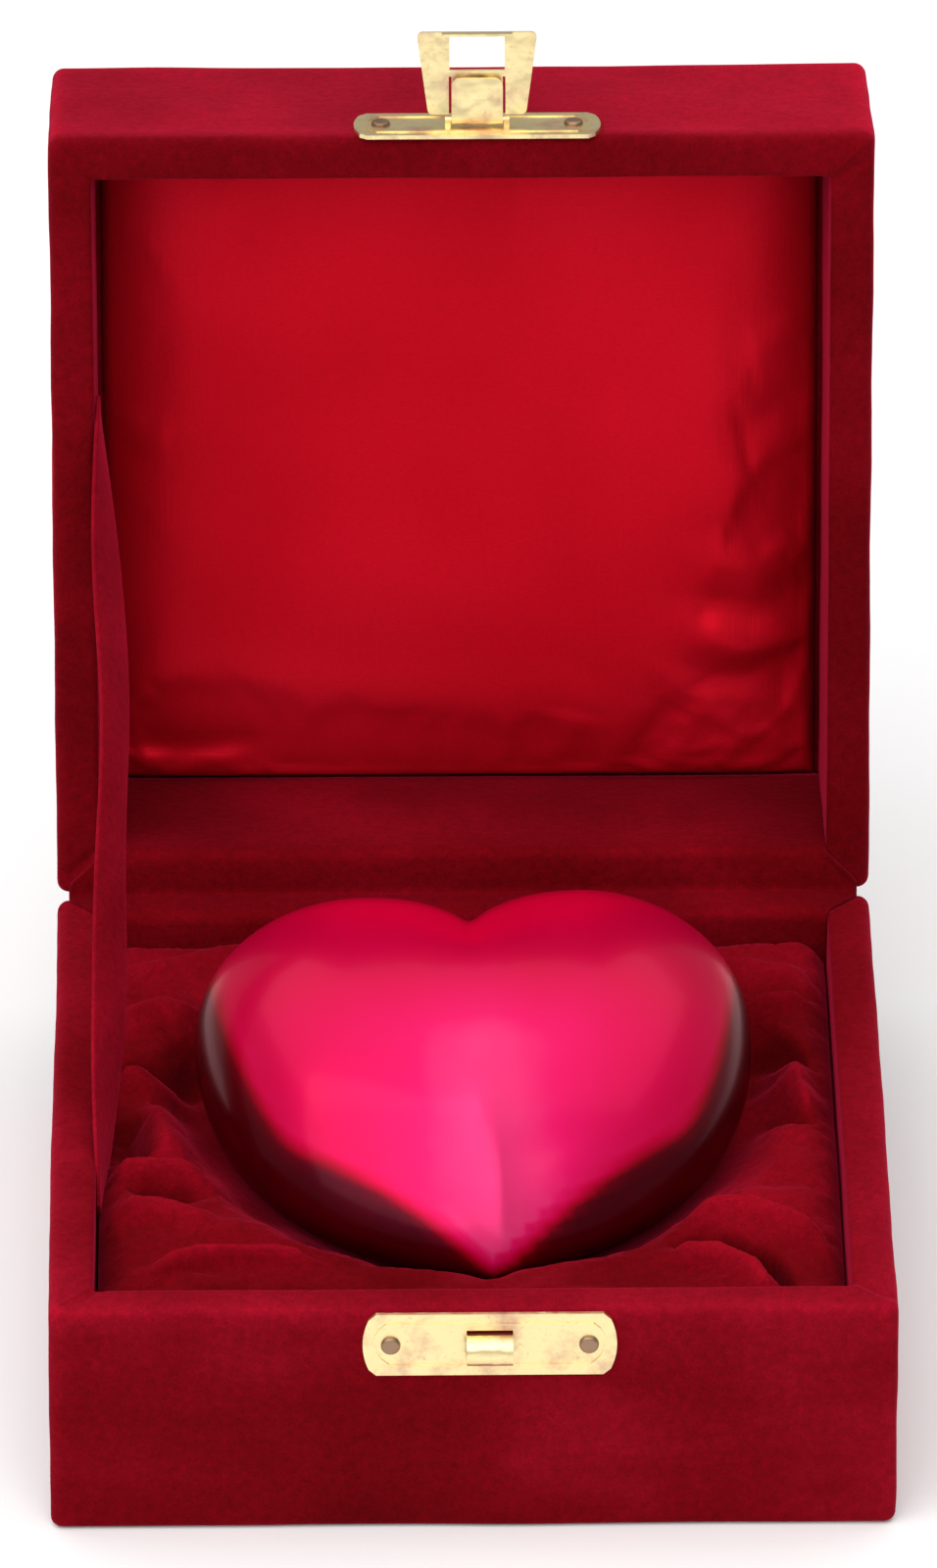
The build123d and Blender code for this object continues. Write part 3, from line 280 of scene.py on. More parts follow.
def satin(name):
    """Warp-faced satin: fine floats along one direction, a soft broad gloss and slight colour wander."""
    m, nt, bsdf = new_material(name)
    broad = noise(nt, 22, 2.0, 0.5)
    warp = noise(nt, 260, 3.0, 0.6, (9.0, 1.0, 0.6))
    weft = noise(nt, 2200, 2.0, 0.6, (0.7, 1.0, 3.0))
    reds = [(0.32, (0.50, 0.0024, 0.011)), (0.52, (0.58, 0.0036, 0.015)), (0.75, (0.65, 0.006, 0.021))]
    col = ramp(nt, broad, reds)
    threads = ramp(nt, weft, [(0.3, (0.75, 0.7, 0.7)), (0.7, (1.15, 1.15, 1.2))])
    col = mix_colour(nt, 0.35, col, threads, "MULTIPLY")
    nt.links.new(col, bsdf.inputs["Base Color"])
    bsdf.inputs["Metallic"].default_value = 0.45
    bsdf.inputs["Roughness"].default_value = 0.42
    bsdf.inputs["Specular IOR Level"].default_value = 0.15
    bsdf.inputs["Specular Tint"].default_value = (1.0, 0.25, 0.28, 1)
    bsdf.inputs["Sheen Weight"].default_value = 0.05
    bsdf.inputs["Sheen Roughness"].default_value = 0.4
    bsdf.inputs["Sheen Tint"].default_value = (1.0, 0.12, 0.16, 1)
    bump(nt, bsdf, [(warp, 0.10, 0.0003), (weft, 0.25, 0.00008)])
    return m


def lacquer(name):
    """Candy lacquer over bright metal: the metal's reflections come through tinted, under a thin coat; its
    colour comes from a per-point attribute that holds painted shade and highlight.
    """
    m, nt, bsdf = new_material(name)
    # the per-point paint holds the lacquer's own red and pink, with painted shade on the lower part and painted
    # highlight at the field's centre and edge
    at = node(nt, "ShaderNodeAttribute", attribute_name="paint_and_painted_light")
    wander = noise(nt, 34, 4.0, 0.55)
    brushed = noise(nt, 90, 4.0, 0.6, (1.0, 0.25, 1.0))
    fac = maths(nt, "ADD", at.outputs["Fac"], maths(nt, "MULTIPLY", maths(nt, "SUBTRACT", wander, 0.5), 0.12))
    fac = maths(nt, "ADD", fac, maths(nt, "MULTIPLY", maths(nt, "SUBTRACT", brushed, 0.5), 0.08))
    maroon_to_pink = [
        (0.0, (0.04, 0.0, 0.0006)), (0.16, (0.13, 0.0, 0.003)), (0.30, (0.34, 0.0, 0.010)),
        (0.50, (0.60, 0.0, 0.045)), (0.75, (0.74, 0.006, 0.11)), (1.0, (0.88, 0.085, 0.27)),
    ]
    col = ramp(nt, fac, maroon_to_pink)
    nt.links.new(col, bsdf.inputs["Base Color"])
    bsdf.inputs["Metallic"].default_value = 0.35
    bsdf.inputs["Roughness"].default_value = 0.30
    bsdf.inputs["Specular IOR Level"].default_value = 0.3
    bsdf.inputs["Specular Tint"].default_value = (1.0, 0.10, 0.45, 1)
    bsdf.inputs["Coat Weight"].default_value = 0.15
    bsdf.inputs["Coat Roughness"].default_value = 0.12
    bsdf.inputs["Coat IOR"].default_value = 1.4
    orange = noise(nt, 420, 2.0, 0.5)
    bump(nt, bsdf, [(orange, 0.02, 0.0003)])
    return m


def brass(name, worn=0.5, base=(0.90, 0.66, 0.26), dull=(0.42, 0.22, 0.07), rough=(0.16, 0.42), dent=0.5):
    """Stamped brass sheet: pale worn metal, brown tarnish in patches, fine scratches and a wavy face."""
    m, nt, bsdf = new_material(name)
    patch = noise(nt, 210, 4.0, 0.62)
    speck = noise(nt, 1500, 3.0, 0.7)
    wave = noise(nt, 260, 2.0, 0.5)
    scratch = noise(nt, 900, 2.0, 0.6, (0.15, 1.0, 4.0))
    tarnish = ramp(nt, patch, [(0.44 + 0.16 * (1 - worn), (0, 0, 0)), (0.74 + 0.1 * (1 - worn), (1, 1, 1))])
    spots = ramp(nt, speck, [(0.62, (0, 0, 0)), (0.78, (1, 1, 1))])
    col = mix_colour(nt, tarnish, base, dull)
    col = mix_colour(nt, maths(nt, "MULTIPLY", spots, 0.45), col, (0.25, 0.12, 0.05))
    nt.links.new(col, bsdf.inputs["Base Color"])
    bsdf.inputs["Metallic"].default_value = 1.0
    r = node(nt, "ShaderNodeMapRange")
    r.inputs["To Min"].default_value, r.inputs["To Max"].default_value = rough
    nt.links.new(patch, r.inputs["Value"])
    nt.links.new(r.outputs[0], bsdf.inputs["Roughness"])
    bump(nt, bsdf, [(wave, dent, 0.0008), (scratch, 0.10, 0.0001), (speck, 0.08, 0.00008)])
    return m


def steel(name, base, rough=0.28):
    m, nt, bsdf = new_material(name)
    turned = noise(nt, 1200, 3.0, 0.6, (1.0, 6.0, 1.0))
    patch = noise(nt, 160, 3.0, 0.5)
    col = mix_colour(nt, maths(nt, "MULTIPLY", patch, 0.35), base, tuple(c * 0.55 for c in base))
    nt.links.new(col, bsdf.inputs["Base Color"])
    bsdf.inputs["Metallic"].default_value = 1.0
    r = node(nt, "ShaderNodeMapRange")
    r.inputs["To Min"].default_value, r.inputs["To Max"].default_value = rough * 0.7, rough * 1.4
    nt.links.new(turned, r.inputs["Value"])
    nt.links.new(r.outputs[0], bsdf.inputs["Roughness"])
    bump(nt, bsdf, [(turned, 0.12, 0.0001)])
    return m


def dry(name, dark, light, rough=0.9, scale=900, strength=0.3):
    """Board, paper, foam and fibre sheet."""
    m, nt, bsdf = new_material(name)
    broad = noise(nt, 45, 4.0, 0.6)
    grain = noise(nt, scale, 3.0, 0.7)
    col = ramp(nt, broad, [(0.3, dark), (0.7, light)])
    grains = ramp(nt, grain, [(0.3, (0.7, 0.7, 0.7)), (0.7, (1.2, 1.2, 1.2))])
    col = mix_colour(nt, 0.5, col, grains, "MULTIPLY")
    nt.links.new(col, bsdf.inputs["Base Color"])
    bsdf.inputs["Roughness"].default_value = rough
    bsdf.inputs["Specular IOR Level"].default_value = 0.2
    bump(nt, bsdf, [(grain, strength, 0.0002)])
    return m


VELVET = velvet("velvet_outer", (0.12, 0.0005, 0.0025), (0.175, 0.0010, 0.0048), (0.28, 0.003, 0.013), 0.5)
VELVET_IN = velvet("velvet_inner", (0.105, 0.0004, 0.002), (0.165, 0.0008, 0.004), (0.27, 0.002, 0.010), 0.35)
SATIN = satin("satin_red")
LACQUER = lacquer("heart_lacquer")
slot_looks = {
    "velvet_outer": VELVET,
    "velvet_inner": VELVET_IN,
    "satin": SATIN,
    "lacquer_upper": LACQUER,
    "lacquer_lower": LACQUER,
    "brass_latch": brass("brass_latch", 0.75, (0.93, 0.76, 0.40), (0.62, 0.36, 0.26), (0.24, 0.46)),
    "brass_nail": brass("brass_nail", 0.9, (0.34, 0.22, 0.14), (0.16, 0.09, 0.06), (0.32, 0.6), 0.2),
    "grey_board": dry("grey_board", (0.22, 0.20, 0.18), (0.36, 0.33, 0.30)),
    "flocked_paper": dry("flocked_paper", (0.030, 0.002, 0.006), (0.060, 0.004, 0.010), 0.95, 1600, 0.5),
    "foam": dry("foam", (0.62, 0.52, 0.30), (0.78, 0.68, 0.42), 0.95, 700, 0.6),
    "movement_cover": dry("fibre_sheet", (0.012, 0.012, 0.014), (0.03, 0.03, 0.032), 0.6),
    "frame_metal": steel("bracket_metal", (0.55, 0.55, 0.53), 0.42),
    "steel": steel("turned_steel", (0.56, 0.56, 0.55), 0.26),
    "spring_steel": steel("blued_steel", (0.20, 0.24, 0.34), 0.3),
    "brass_train": brass("brass_train", 0.25, (0.86, 0.62, 0.24), (0.5, 0.3, 0.1), (0.18, 0.34), 0.1),
}
node_slot = {s["node"]: s["material_slot"] for s in frame["record"]["subparts"]}
for name, ob in frame["nodes"].items():
    ob.data.materials.clear()
    ob.data.materials.append(slot_looks[node_slot[name]])

for name, width in (
    ("catch_plate", 0.10), ("hasp_plate", 0.10), ("hasp", 0.14), ("winding_key", 0.10), ("base_underside", 0.15)
):
    m = frame["nodes"][name].modifiers.new("edge", "BEVEL")
    m.width = width * MM
    m.segments = 2
    m.limit_method = "ANGLE"
    m.angle_limit = math.radians(40)
    m.harden_normals = False


# ---- velvet covers of the base and the lid ----
SIDE, ARC = 65, 7
u = np.linspace(-1, 1, SIDE)
T = 0.22 * u + 0.78 * np.sin(u * math.pi / 2)
COLS = 4 * SIDE + 4 * ARC
back_cols = list(range(2 * (SIDE + ARC), 2 * (SIDE + ARC) + SIDE))


def loop(hx, hy, r):
    """Points round a rectangle with rounded corners: front, right, back and left, with an arc after each."""
    r = max(r, 0.0)
    sx, sy = hx - r, hy - r
    out = []
    sides = [
        (lambda t: (t * sx, -hy)), (lambda t: (hx, t * sy)),
        (lambda t: (-t * sx, hy)), (lambda t: (-hx, -t * sy)),
    ]
    centres = [(sx, -sy, -90), (sx, sy, 0), (-sx, sy, 90), (-sx, -sy, 180)]
    for k in range(4):
        out += [sides[k](t) for t in T]
        cx, cy, a0 = centres[k]
        for j in range(1, ARC + 1):
            a = math.radians(a0 + 90 * j / (ARC + 1))
            out.append((cx + r * math.cos(a), cy + r * math.sin(a)))
    return np.array(out)


def corner_distance():
    """For each column, how far along its side it is from the nearest corner, in mm."""
    per = []
    for k in range(4):
        half = (WIDTH if k % 2 == 0 else DEPTH) / 2
        per += [(1 - abs(t)) * half for t in T]
        per += [0.0] * ARC
    return np.array(per)


CORNER = corner_distance()
FIRST_HALF = np.array([(i % (SIDE + ARC)) > SIDE / 2 for i in range(COLS)])


def closed_grid(n):
    """Faces of a closed form: an n by n grid on top, the same grid below it, and a wall round the edge."""
    faces = grid_faces(n, n) + [tuple(reversed([i + n * n for i in f])) for f in grid_faces(n, n)]
    edge = [j for j in range(n)] + [n * (i + 1) - 1 for i in range(1, n)]
    edge += [n * (n - 1) + j for j in range(n - 2, -1, -1)] + [n * i for i in range(n - 2, 0, -1)]
    for a, b in zip(edge, edge[1:] + edge[:1]):
        faces.append((b, a, a + n * n, b + n * n))
    return faces


def neighbours_mean(values):
    """For each point of a grid, the mean of the four points beside it."""
    return 0.25 * (
        np.roll(values, 1, 0) + np.roll(values, -1, 0) + np.roll(values, 1, 1) + np.roll(values, -1, 1)
    )


def rounded_edge(inside, size):
    """How far a cushion's edge falls, from size at the edge to 0 inside; inside runs from 0 to 1."""
    return size * (1 - np.sqrt(np.clip(1 - (1 - inside) ** 2.2, 0, 1)))


def rounded(points, radii, segments=5):
    """Rounds the inner corners of an open (inset, height) path, each with its own radius."""
    out = [np.array(points[0], float)]
    for i in range(1, len(points) - 1):
        p, a, b = (np.array(points[k], float) for k in (i, i - 1, i + 1))
        r = radii[i - 1]
        da, db = (a - p) / np.linalg.norm(a - p), (b - p) / np.linalg.norm(b - p)
        s, e = p + da * r, p + db * r
        for j in range(segments + 1):
            t = j / segments
            out.append((1 - t) ** 2 * s + 2 * t * (1 - t) * p + t * t * e)
    out.append(np.array(points[-1], float))
    return out


def densify(path, step):
    """Adds points on the long runs of a path."""
    out = [path[0]]
    for a, b in zip(path[:-1], path[1:]):
        n = max(1, int(np.linalg.norm(b - a) / step))
        out += [a + (b - a) * k / n for k in range(1, n + 1)]
    return out


def cloth_rows(path, rim_z, outward):
    """Loops of velvet along an (inset, height) path round the box, with the folded mitres on its rim."""
    rows = []
    for d, z in path:
        xy = loop(WIDTH / 2 - d, DEPTH / 2 - d, 1.6 - d)
        p = np.column_stack([xy, np.full(COLS, z)])
        on_rim = math.exp(-(((z - rim_z) / 0.5) ** 2)) * smoothstep(-0.2, 0.9, np.array([d]))[0]
        on_rim *= 1 - smoothstep(5.2, 5.75, np.array([d]))[0]
        across = CORNER * 0.7071
        fold = 0.08 * np.exp(-((across / 0.34) ** 2)) + 0.03 * FIRST_HALF * np.exp(-across / 4.0)
        fold -= 0.36 * np.exp(-(((across - 0.9) / 0.45) ** 2)) * ~FIRST_HALF
        p[:, 2] += outward * fold * on_rim
        crown = 0.05 * math.sin(math.pi * min(max(d / WALL, 0), 1))
        p[:, 2] += outward * crown * on_rim
        wander = 0.10 * ripple(p, 17.0, 1) + 0.05 * ripple(p, 6.0, 2)
        flat = np.column_stack([xy, np.zeros(COLS)])
        away = flat / np.maximum(np.abs(flat).max(1, keepdims=True), 1)
        p += away * (wander * (1 if d < 3 else -0.6))[:, None]
        p[:, 2] += outward * 0.025 * ripple(p, 11.0, 3) * on_rim
        rows.append(p)
    return np.array(rows)


PATH_STEP = 1.6
CAP_INSET = 3.4  # where the lid's walls hand over to the grid of its top

base_path = densify(
    rounded(
        [(8.0, 0.12), (0.0, 0.12), (0.0, BASE_H), (WALL, BASE_H), (WALL, 3.65)],
        [1.2, 1.7, 1.0],
    ),
    PATH_STEP,
)
lid_path = densify(
    rounded(
        [(WALL + 1.3, 27.8), (WALL, 27.8), (WALL, 0.0), (0.0, 0.0), (0.0, LID_H), (CAP_INSET, LID_H)],
        [0.2, 1.0, 1.9, 1.4],
    ),
    PATH_STEP,
)
base_rows = cloth_rows(base_path, BASE_H, 1.0)
lid_rows = cloth_rows(lid_path, 0.0, -1.0)
lid_rows[:, :, 1] -= DEPTH / 2

LEAF = 9.0  # how far the outer cloth reaches down each back wall


def path_rows(path, wanted):
    """The numbers of the path's points whose (inset, height) is wanted."""
    return [i for i, (d, z) in enumerate(path) if wanted(d, z)]


# the back rows that the cloth hinge takes over, on the inside of each wall
base_in_cut = path_rows(base_path, lambda d, z: d > 0.72 and (z > 31.9 or d > 5.0) and z > 3)
lid_in_cut = path_rows(lid_path, lambda d, z: d > 0.72 and (z < 0.7 or d > 5.0) and z < 28)


def covered(rows_n, cuts):
    """Faces of a cover, without the back strip that the cloth hinge takes."""
    faces = []
    gone = set(cuts)
    back = set(back_cols)
    for i, face in enumerate(grid_faces(rows_n, COLS, True)):
        r, c = divmod(i, COLS)
        if r in gone and r + 1 in gone and c in back and (c + 1) % COLS in back:
            continue
        faces.append(face)
    return faces


def point_values(ob, name, values):
    """Stores one number for each point, which a material reads by name."""
    attribute = ob.data.attributes.new(name, "FLOAT", "POINT")
    attribute.data.foreach_set("value", np.asarray(values).astype(np.float32))


def points_of(ob):
    """The object's points in mm."""
    return np.array([v.co[:] for v in ob.data.vertices]) / MM


def base_wear_and_painted_sheen(co):
    """How light the base's pile is at points in mm: lighter along the rim and the corners from rubbed pile, and
    lighter across the rim's top band as painted sheen.
    """
    out = np.maximum(np.abs(co[:, 0]) - WIDTH / 2, np.abs(co[:, 1]) - DEPTH / 2)
    rim = np.exp(-(((BASE_H - co[:, 2]) / 2.2) ** 2)) * np.exp(-((out / 2.0) ** 2))
    corner = np.hypot(np.abs(co[:, 0]) - WIDTH / 2, np.abs(co[:, 1]) - DEPTH / 2)
    return rim * 0.8 + 0.5 * np.exp(-((corner / 2.2) ** 2)) + 0.5 * smoothstep(31.5, 32.6, co[:, 2])


LID_FRONT_PAINTED_LIGHT = 1.7  # painted light: the lid's front wall is painted paler to stand in for sheen; the real cause of its paleness isn't known


def lid_wear_and_painted_light(co):
    """How light the lid's pile is at points in mm: rubbed along the top edge and the corners, darker along the
    rim's face, and painted light on the front wall.
    """
    rel = co - LID_O
    y, z = rel @ LID_Y, rel @ LID_Z
    corner = np.hypot(np.abs(co[:, 0]) - WIDTH / 2, np.abs(y + DEPTH / 2) - DEPTH / 2)
    top = np.exp(-(((LID_H - z) / 2.0) ** 2))
    # painted light: the front wall is painted lighter, in place of its sheen
    face = smoothstep(-DEPTH + 1.0, -DEPTH + 0.3, y) * smoothstep(0.3, 3.0, z)
    rubbed = 0.5 * top + 0.7 * np.exp(-((corner / 2.2) ** 2))
    return rubbed - 0.3 * smoothstep(1.0, 0.2, z) + LID_FRONT_PAINTED_LIGHT * face


def cover(name, rows, cuts, cap, material, body):
    """A velvet cover from its loops; cap closes the lid's top with a grid."""
    verts = rows.reshape(-1, 3)
    faces = covered(len(rows), cuts)
    if cap:
        n0 = len(verts)
        hx, hy = WIDTH / 2 - CAP_INSET, DEPTH / 2 - CAP_INSET
        gx, gy = np.meshgrid(T * hx, T * hy)
        top = np.column_stack([gx.ravel(), gy.ravel() - DEPTH / 2, np.full(gx.size, LID_H)])
        edge = smoothstep(0, 8, np.minimum(hx - abs(gx), hy - abs(gy)).ravel())
        top[:, 2] += edge * (0.10 * ripple(top, 26.0, 1) + 0.04 * ripple(top, 9.0, 2))
        verts = np.vstack([verts, top])
        faces = faces + grid_faces(SIDE, SIDE, False, n0)
    if name.startswith("lid"):
        verts = lid_points(verts)
    ob = make_object(name, verts, faces, material, merge=0.02)
    bake(ob, ("SOLIDIFY", {"thickness": 0.35 * MM, "offset": -1.0, "use_even_offset": False}))
    # the per-point tone holds rubbed pile, painted sheen on the base's rim top and painted light on the lid's
    # front wall
    point_values(ob, "pile_tone_and_painted_light", (lid_wear_and_painted_light if name.startswith("lid") else base_wear_and_painted_sheen)(points_of(ob)))
    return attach(ob, body)


# the loop at the cap's edge has square corners that meet the grid
lid_rows[-1, :, :2] = loop(WIDTH / 2 - CAP_INSET, DEPTH / 2 - CAP_INSET, 0.0) - np.array([0, DEPTH / 2])
lid_rows[-1, :, 2] = LID_H

# the lid's front is a little hollow, and its right front corner leans in
front = smoothstep(-DEPTH + 3.0, -DEPTH + 0.5, lid_rows[..., 1])
along = np.clip(np.abs(lid_rows[..., 0]) / (WIDTH / 2), 0, 1)
lid_rows[..., 1] += 0.2 * front * (1 - along**3) * smoothstep(2.0, 6.0, lid_rows[..., 2])
lean = smoothstep(6, LID_H, lid_rows[..., 2]) * smoothstep(-60, -DEPTH, lid_rows[..., 1])
lid_rows[..., 0] -= 0.15 * lean * smoothstep(20, 54, lid_rows[..., 0])
lid_rows[..., 0] += 0.1 * lean * smoothstep(20, 54, -lid_rows[..., 0])
base_velvet = cover("base_velvet", base_rows, base_in_cut, False, VELVET, "base")
lid_velvet = cover("lid_velvet", lid_rows, lid_in_cut, True, VELVET, "lid")
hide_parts("base_velvet_cover", "base_lining")
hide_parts("lid_velvet_cover", "lid_lining")


# ---- the cloth that crosses the fold ----
def strip(name, base_part, lid_part, fold, material, replaced):
    """One run of cloth from the base's rows over the fold to the lid's rows."""
    rows = [base_rows[i][back_cols] for i in base_part]
    first, last = rows[-1], lid_points(lid_rows[lid_part[0]][back_cols])
    for y, z, t in fold:
        row = first * (1 - t) + last * t
        row[:, 1], row[:, 2] = y, z
        rows.append(row)
    rows += [lid_points(lid_rows[i][back_cols]) for i in lid_part]
    rows = np.array(rows)
    ob = make_object(name, rows.reshape(-1, 3), grid_faces(len(rows), SIDE), material, merge=0.001)
    bake(ob, ("SOLIDIFY", {"thickness": 0.55 * MM, "offset": -1.0, "use_even_offset": False}))
    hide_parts(replaced)
    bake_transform(ob)


inner_base = list(reversed(base_in_cut))
inner_lid = list(reversed(lid_in_cut))
inner_fold = [(52.75, 32.62, 0.3), (53.05, 32.86, 0.5), (53.22, 33.12, 0.7)]
strip(
    "fold_lining", inner_base, inner_lid, inner_fold, VELVET_IN, "hinge_lining",
)

# ---- heart ----
H = dict(hw=36.3, vt=-38.2, vl=27.5, vn=18.8, vw=6.4, xl=17.8, thick=37.0)


def bezier(a, b, c, d, n):
    t = np.linspace(0, 1, n, endpoint=False)[:, None]
    a, b, c, d = (np.array(p, float) for p in (a, b, c, d))
    return (1 - t) ** 3 * a + 3 * t * (1 - t) ** 2 * b + 3 * t * t * (1 - t) * c + t**3 * d


def heart_outline(k, n=34):
    ss = max(1 - k * k, 0) ** (1 / 2.33)
    st = max(1 - abs(k) ** 1.38, 0) ** (1 / 1.83)
    hw, vt, vl, vw, xl = H["hw"] * ss, H["vt"] * st, H["vl"] * ss, H["vw"] * ss, H["xl"] * ss
    vn = vl - (H["vl"] - H["vn"]) * ss**1.6
    right = np.vstack([
        bezier((0, vn), (xl * 0.14, vn + (vl - vn) * 0.6), (xl * 0.45, vl), (xl, vl), n),
        bezier((xl, vl), (xl + (hw - xl) * 0.58, vl), (hw, vw + (vl - vw) * 0.55), (hw, vw), n),
        bezier((hw, vw), (hw, vw - (vw - vt) * 0.52), (hw * 0.65, vt + (vw - vt) * 0.11), (0, vt), n),
    ])
    left = right[:0:-1].copy()
    left[:, 0] *= -1
    tip = np.array([[0, vt]])
    return np.vstack([right, tip, left])


LEVELS = 49
phis = np.linspace(-math.pi / 2, math.pi / 2, LEVELS + 2)[1:-1]
rings = []
for phi in phis:
    k = math.sin(phi)
    ring = heart_outline(k)
    rings.append(np.column_stack([ring, np.full(len(ring), k * H["thick"] / 2)]))
rings = np.array(rings)
for _ in range(30):
    nb = 0.25 * (np.roll(rings, 1, 1) + np.roll(rings, -1, 1))
    up = np.concatenate([rings[:1], rings[:-1]])
    dn = np.concatenate([rings[1:], rings[-1:]])
    mixed = nb + 0.25 * (up + dn)
    notch_side = smoothstep(-6.0, 6.0, rings[..., 1])
    near = np.exp(-((rings[..., 0] / 6.5) ** 2)) * 0.85 * notch_side + 0.012
    rings = rings + (mixed - rings) * near[..., None]
keel = 1.3 * np.exp(-np.sqrt(rings[..., 0] ** 2 + 0.16) / 2.6) * smoothstep(-4.0, -22.0, rings[..., 1])
rings[..., 2] += keel * smoothstep(1.0, 7.0, rings[..., 2])
poles = np.array([[0, 0, -H["thick"] / 2], [0, 0, H["thick"] / 2]])
poles[0, :2] = rings[0, :, :2].mean(0)
poles[1, :2] = rings[-1, :, :2].mean(0)
RC = rings.shape[1]
heart_local = np.vstack([rings.reshape(-1, 3), poles])
heart_faces = grid_faces(LEVELS, RC, True)
heart_faces += [(len(heart_local) - 2, (j + 1) % RC, j) for j in range(RC)]
top0 = (LEVELS - 1) * RC
heart_faces += [(len(heart_local) - 1, top0 + j, top0 + (j + 1) % RC) for j in range(RC)]
cy, sy_, ct, st_ = math.cos(YAW), math.sin(YAW), math.cos(TILT), math.sin(TILT)
axis_x = np.array([cy, sy_ * ct, sy_ * st_])
axis_z = np.array([0, -st_, ct])
axis_y = np.cross(axis_z, axis_x)
heart_world = (
    HEART_C + heart_local[:, :1] * axis_x + heart_local[:, 1:2] * axis_y + heart_local[:, 2:3] * axis_z
)
heart = make_object("heart", heart_world, heart_faces, LACQUER, merge=0.001)
hl = points_of(heart) - HEART_C
hx_, hy_, hz_ = hl @ axis_x, hl @ axis_y, hl @ axis_z
# the colour, fixed on the mesh: a light pointed field over a dark lower part, partly the lacquer's own red and
# pink. The dark lower part is painted shade,
#  and the field's pink centre and thin edge line are painted highlight. Its height is measured along the
#  camera's up direction (29.3 degrees of elevation and the heart's tilt).
UP_IN_HEART = (0.656, 0.755)
rise = UP_IN_HEART[0] * hy_ + UP_IN_HEART[1] * hz_
out_x = np.abs(hx_ - 0.4)
edge = -25.5 + 0.98 * out_x - 0.012 * out_x**2 + 14.0 * np.clip((out_x - 24.0) / 9.0, 0, 3) ** 2
slope = np.abs(0.98 - 0.024 * out_x) + 3.1 * np.clip((out_x - 24.0) / 9.0, 0, 3)
over = (rise - edge) / np.sqrt(1 + slope**2)
# painted shade: below this edge the heart is painted dark, above it lies the lighter field
painted_light_field = smoothstep(-2.0, 2.4, over)
# painted highlight: a thin lighter line along the field's edge
painted_rim_highlight = np.exp(-(((over - 0.8) / 1.1) ** 2)) * smoothstep(14, 6, rise)
# painted highlight: the field's middle is painted a brighter pink
centre = np.exp(-((out_x / 17.0) ** 2)) * smoothstep(16.0, 4.0, rise)
paint_and_painted_light = 0.04 + painted_light_field * (0.46 + 0.34 * centre) + 0.12 * painted_rim_highlight
paint_and_painted_light = np.clip(paint_and_painted_light, 0, 1)
point_values(heart, "paint_and_painted_light", paint_and_painted_light)
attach(heart, "heart")
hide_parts("heart_upper_shell", "heart_lower_shell")

# ---- cushion ----
tree = BVHTree.FromPolygons([tuple(v) for v in heart_world], heart_faces)


def under_heart(x, y):
    """Height of the heart's underside above (x, y), or None beside it."""
    hit = tree.ray_cast(Vector((x, y, -50.0)), Vector((0, 0, 1)))
    return hit[0].z if hit[0] is not None else None


CX, CY = 47.85, 46.9
NG = 150


def fold_line(px, py, points, width, height, skew=0.0):
    """A soft ridge (or furrow) along a bent line of (x, y) points."""
    pts = np.array(points, float)
    best = np.full(px.shape, 1e9)
    side = np.zeros(px.shape)
    along = np.zeros(px.shape)
    total = np.linalg.norm(np.diff(pts, axis=0), axis=1)
    run = np.concatenate([[0], np.cumsum(total)])
    for i in range(len(pts) - 1):
        a, b = pts[i], pts[i + 1]
        d = b - a
        t = np.clip(((px - a[0]) * d[0] + (py - a[1]) * d[1]) / (d @ d), 0, 1)
        qx, qy = px - a[0] - t * d[0], py - a[1] - t * d[1]
        dist = np.hypot(qx, qy)
        s = np.sign(d[0] * qy - d[1] * qx)
        better = dist < best
        best = np.where(better, dist, best)
        side = np.where(better, s, side)
        along = np.where(better, (run[i] + t * total[i]) / run[-1], along)
    fade = smoothstep(0, 0.18, along) * smoothstep(0, 0.18, 1 - along)
    shape = np.exp(-((best / width) ** 2))
    lean = 1 + skew * side * np.clip(best / width, 0, 1)
    return height * shape * lean * (0.25 + 0.75 * fade)


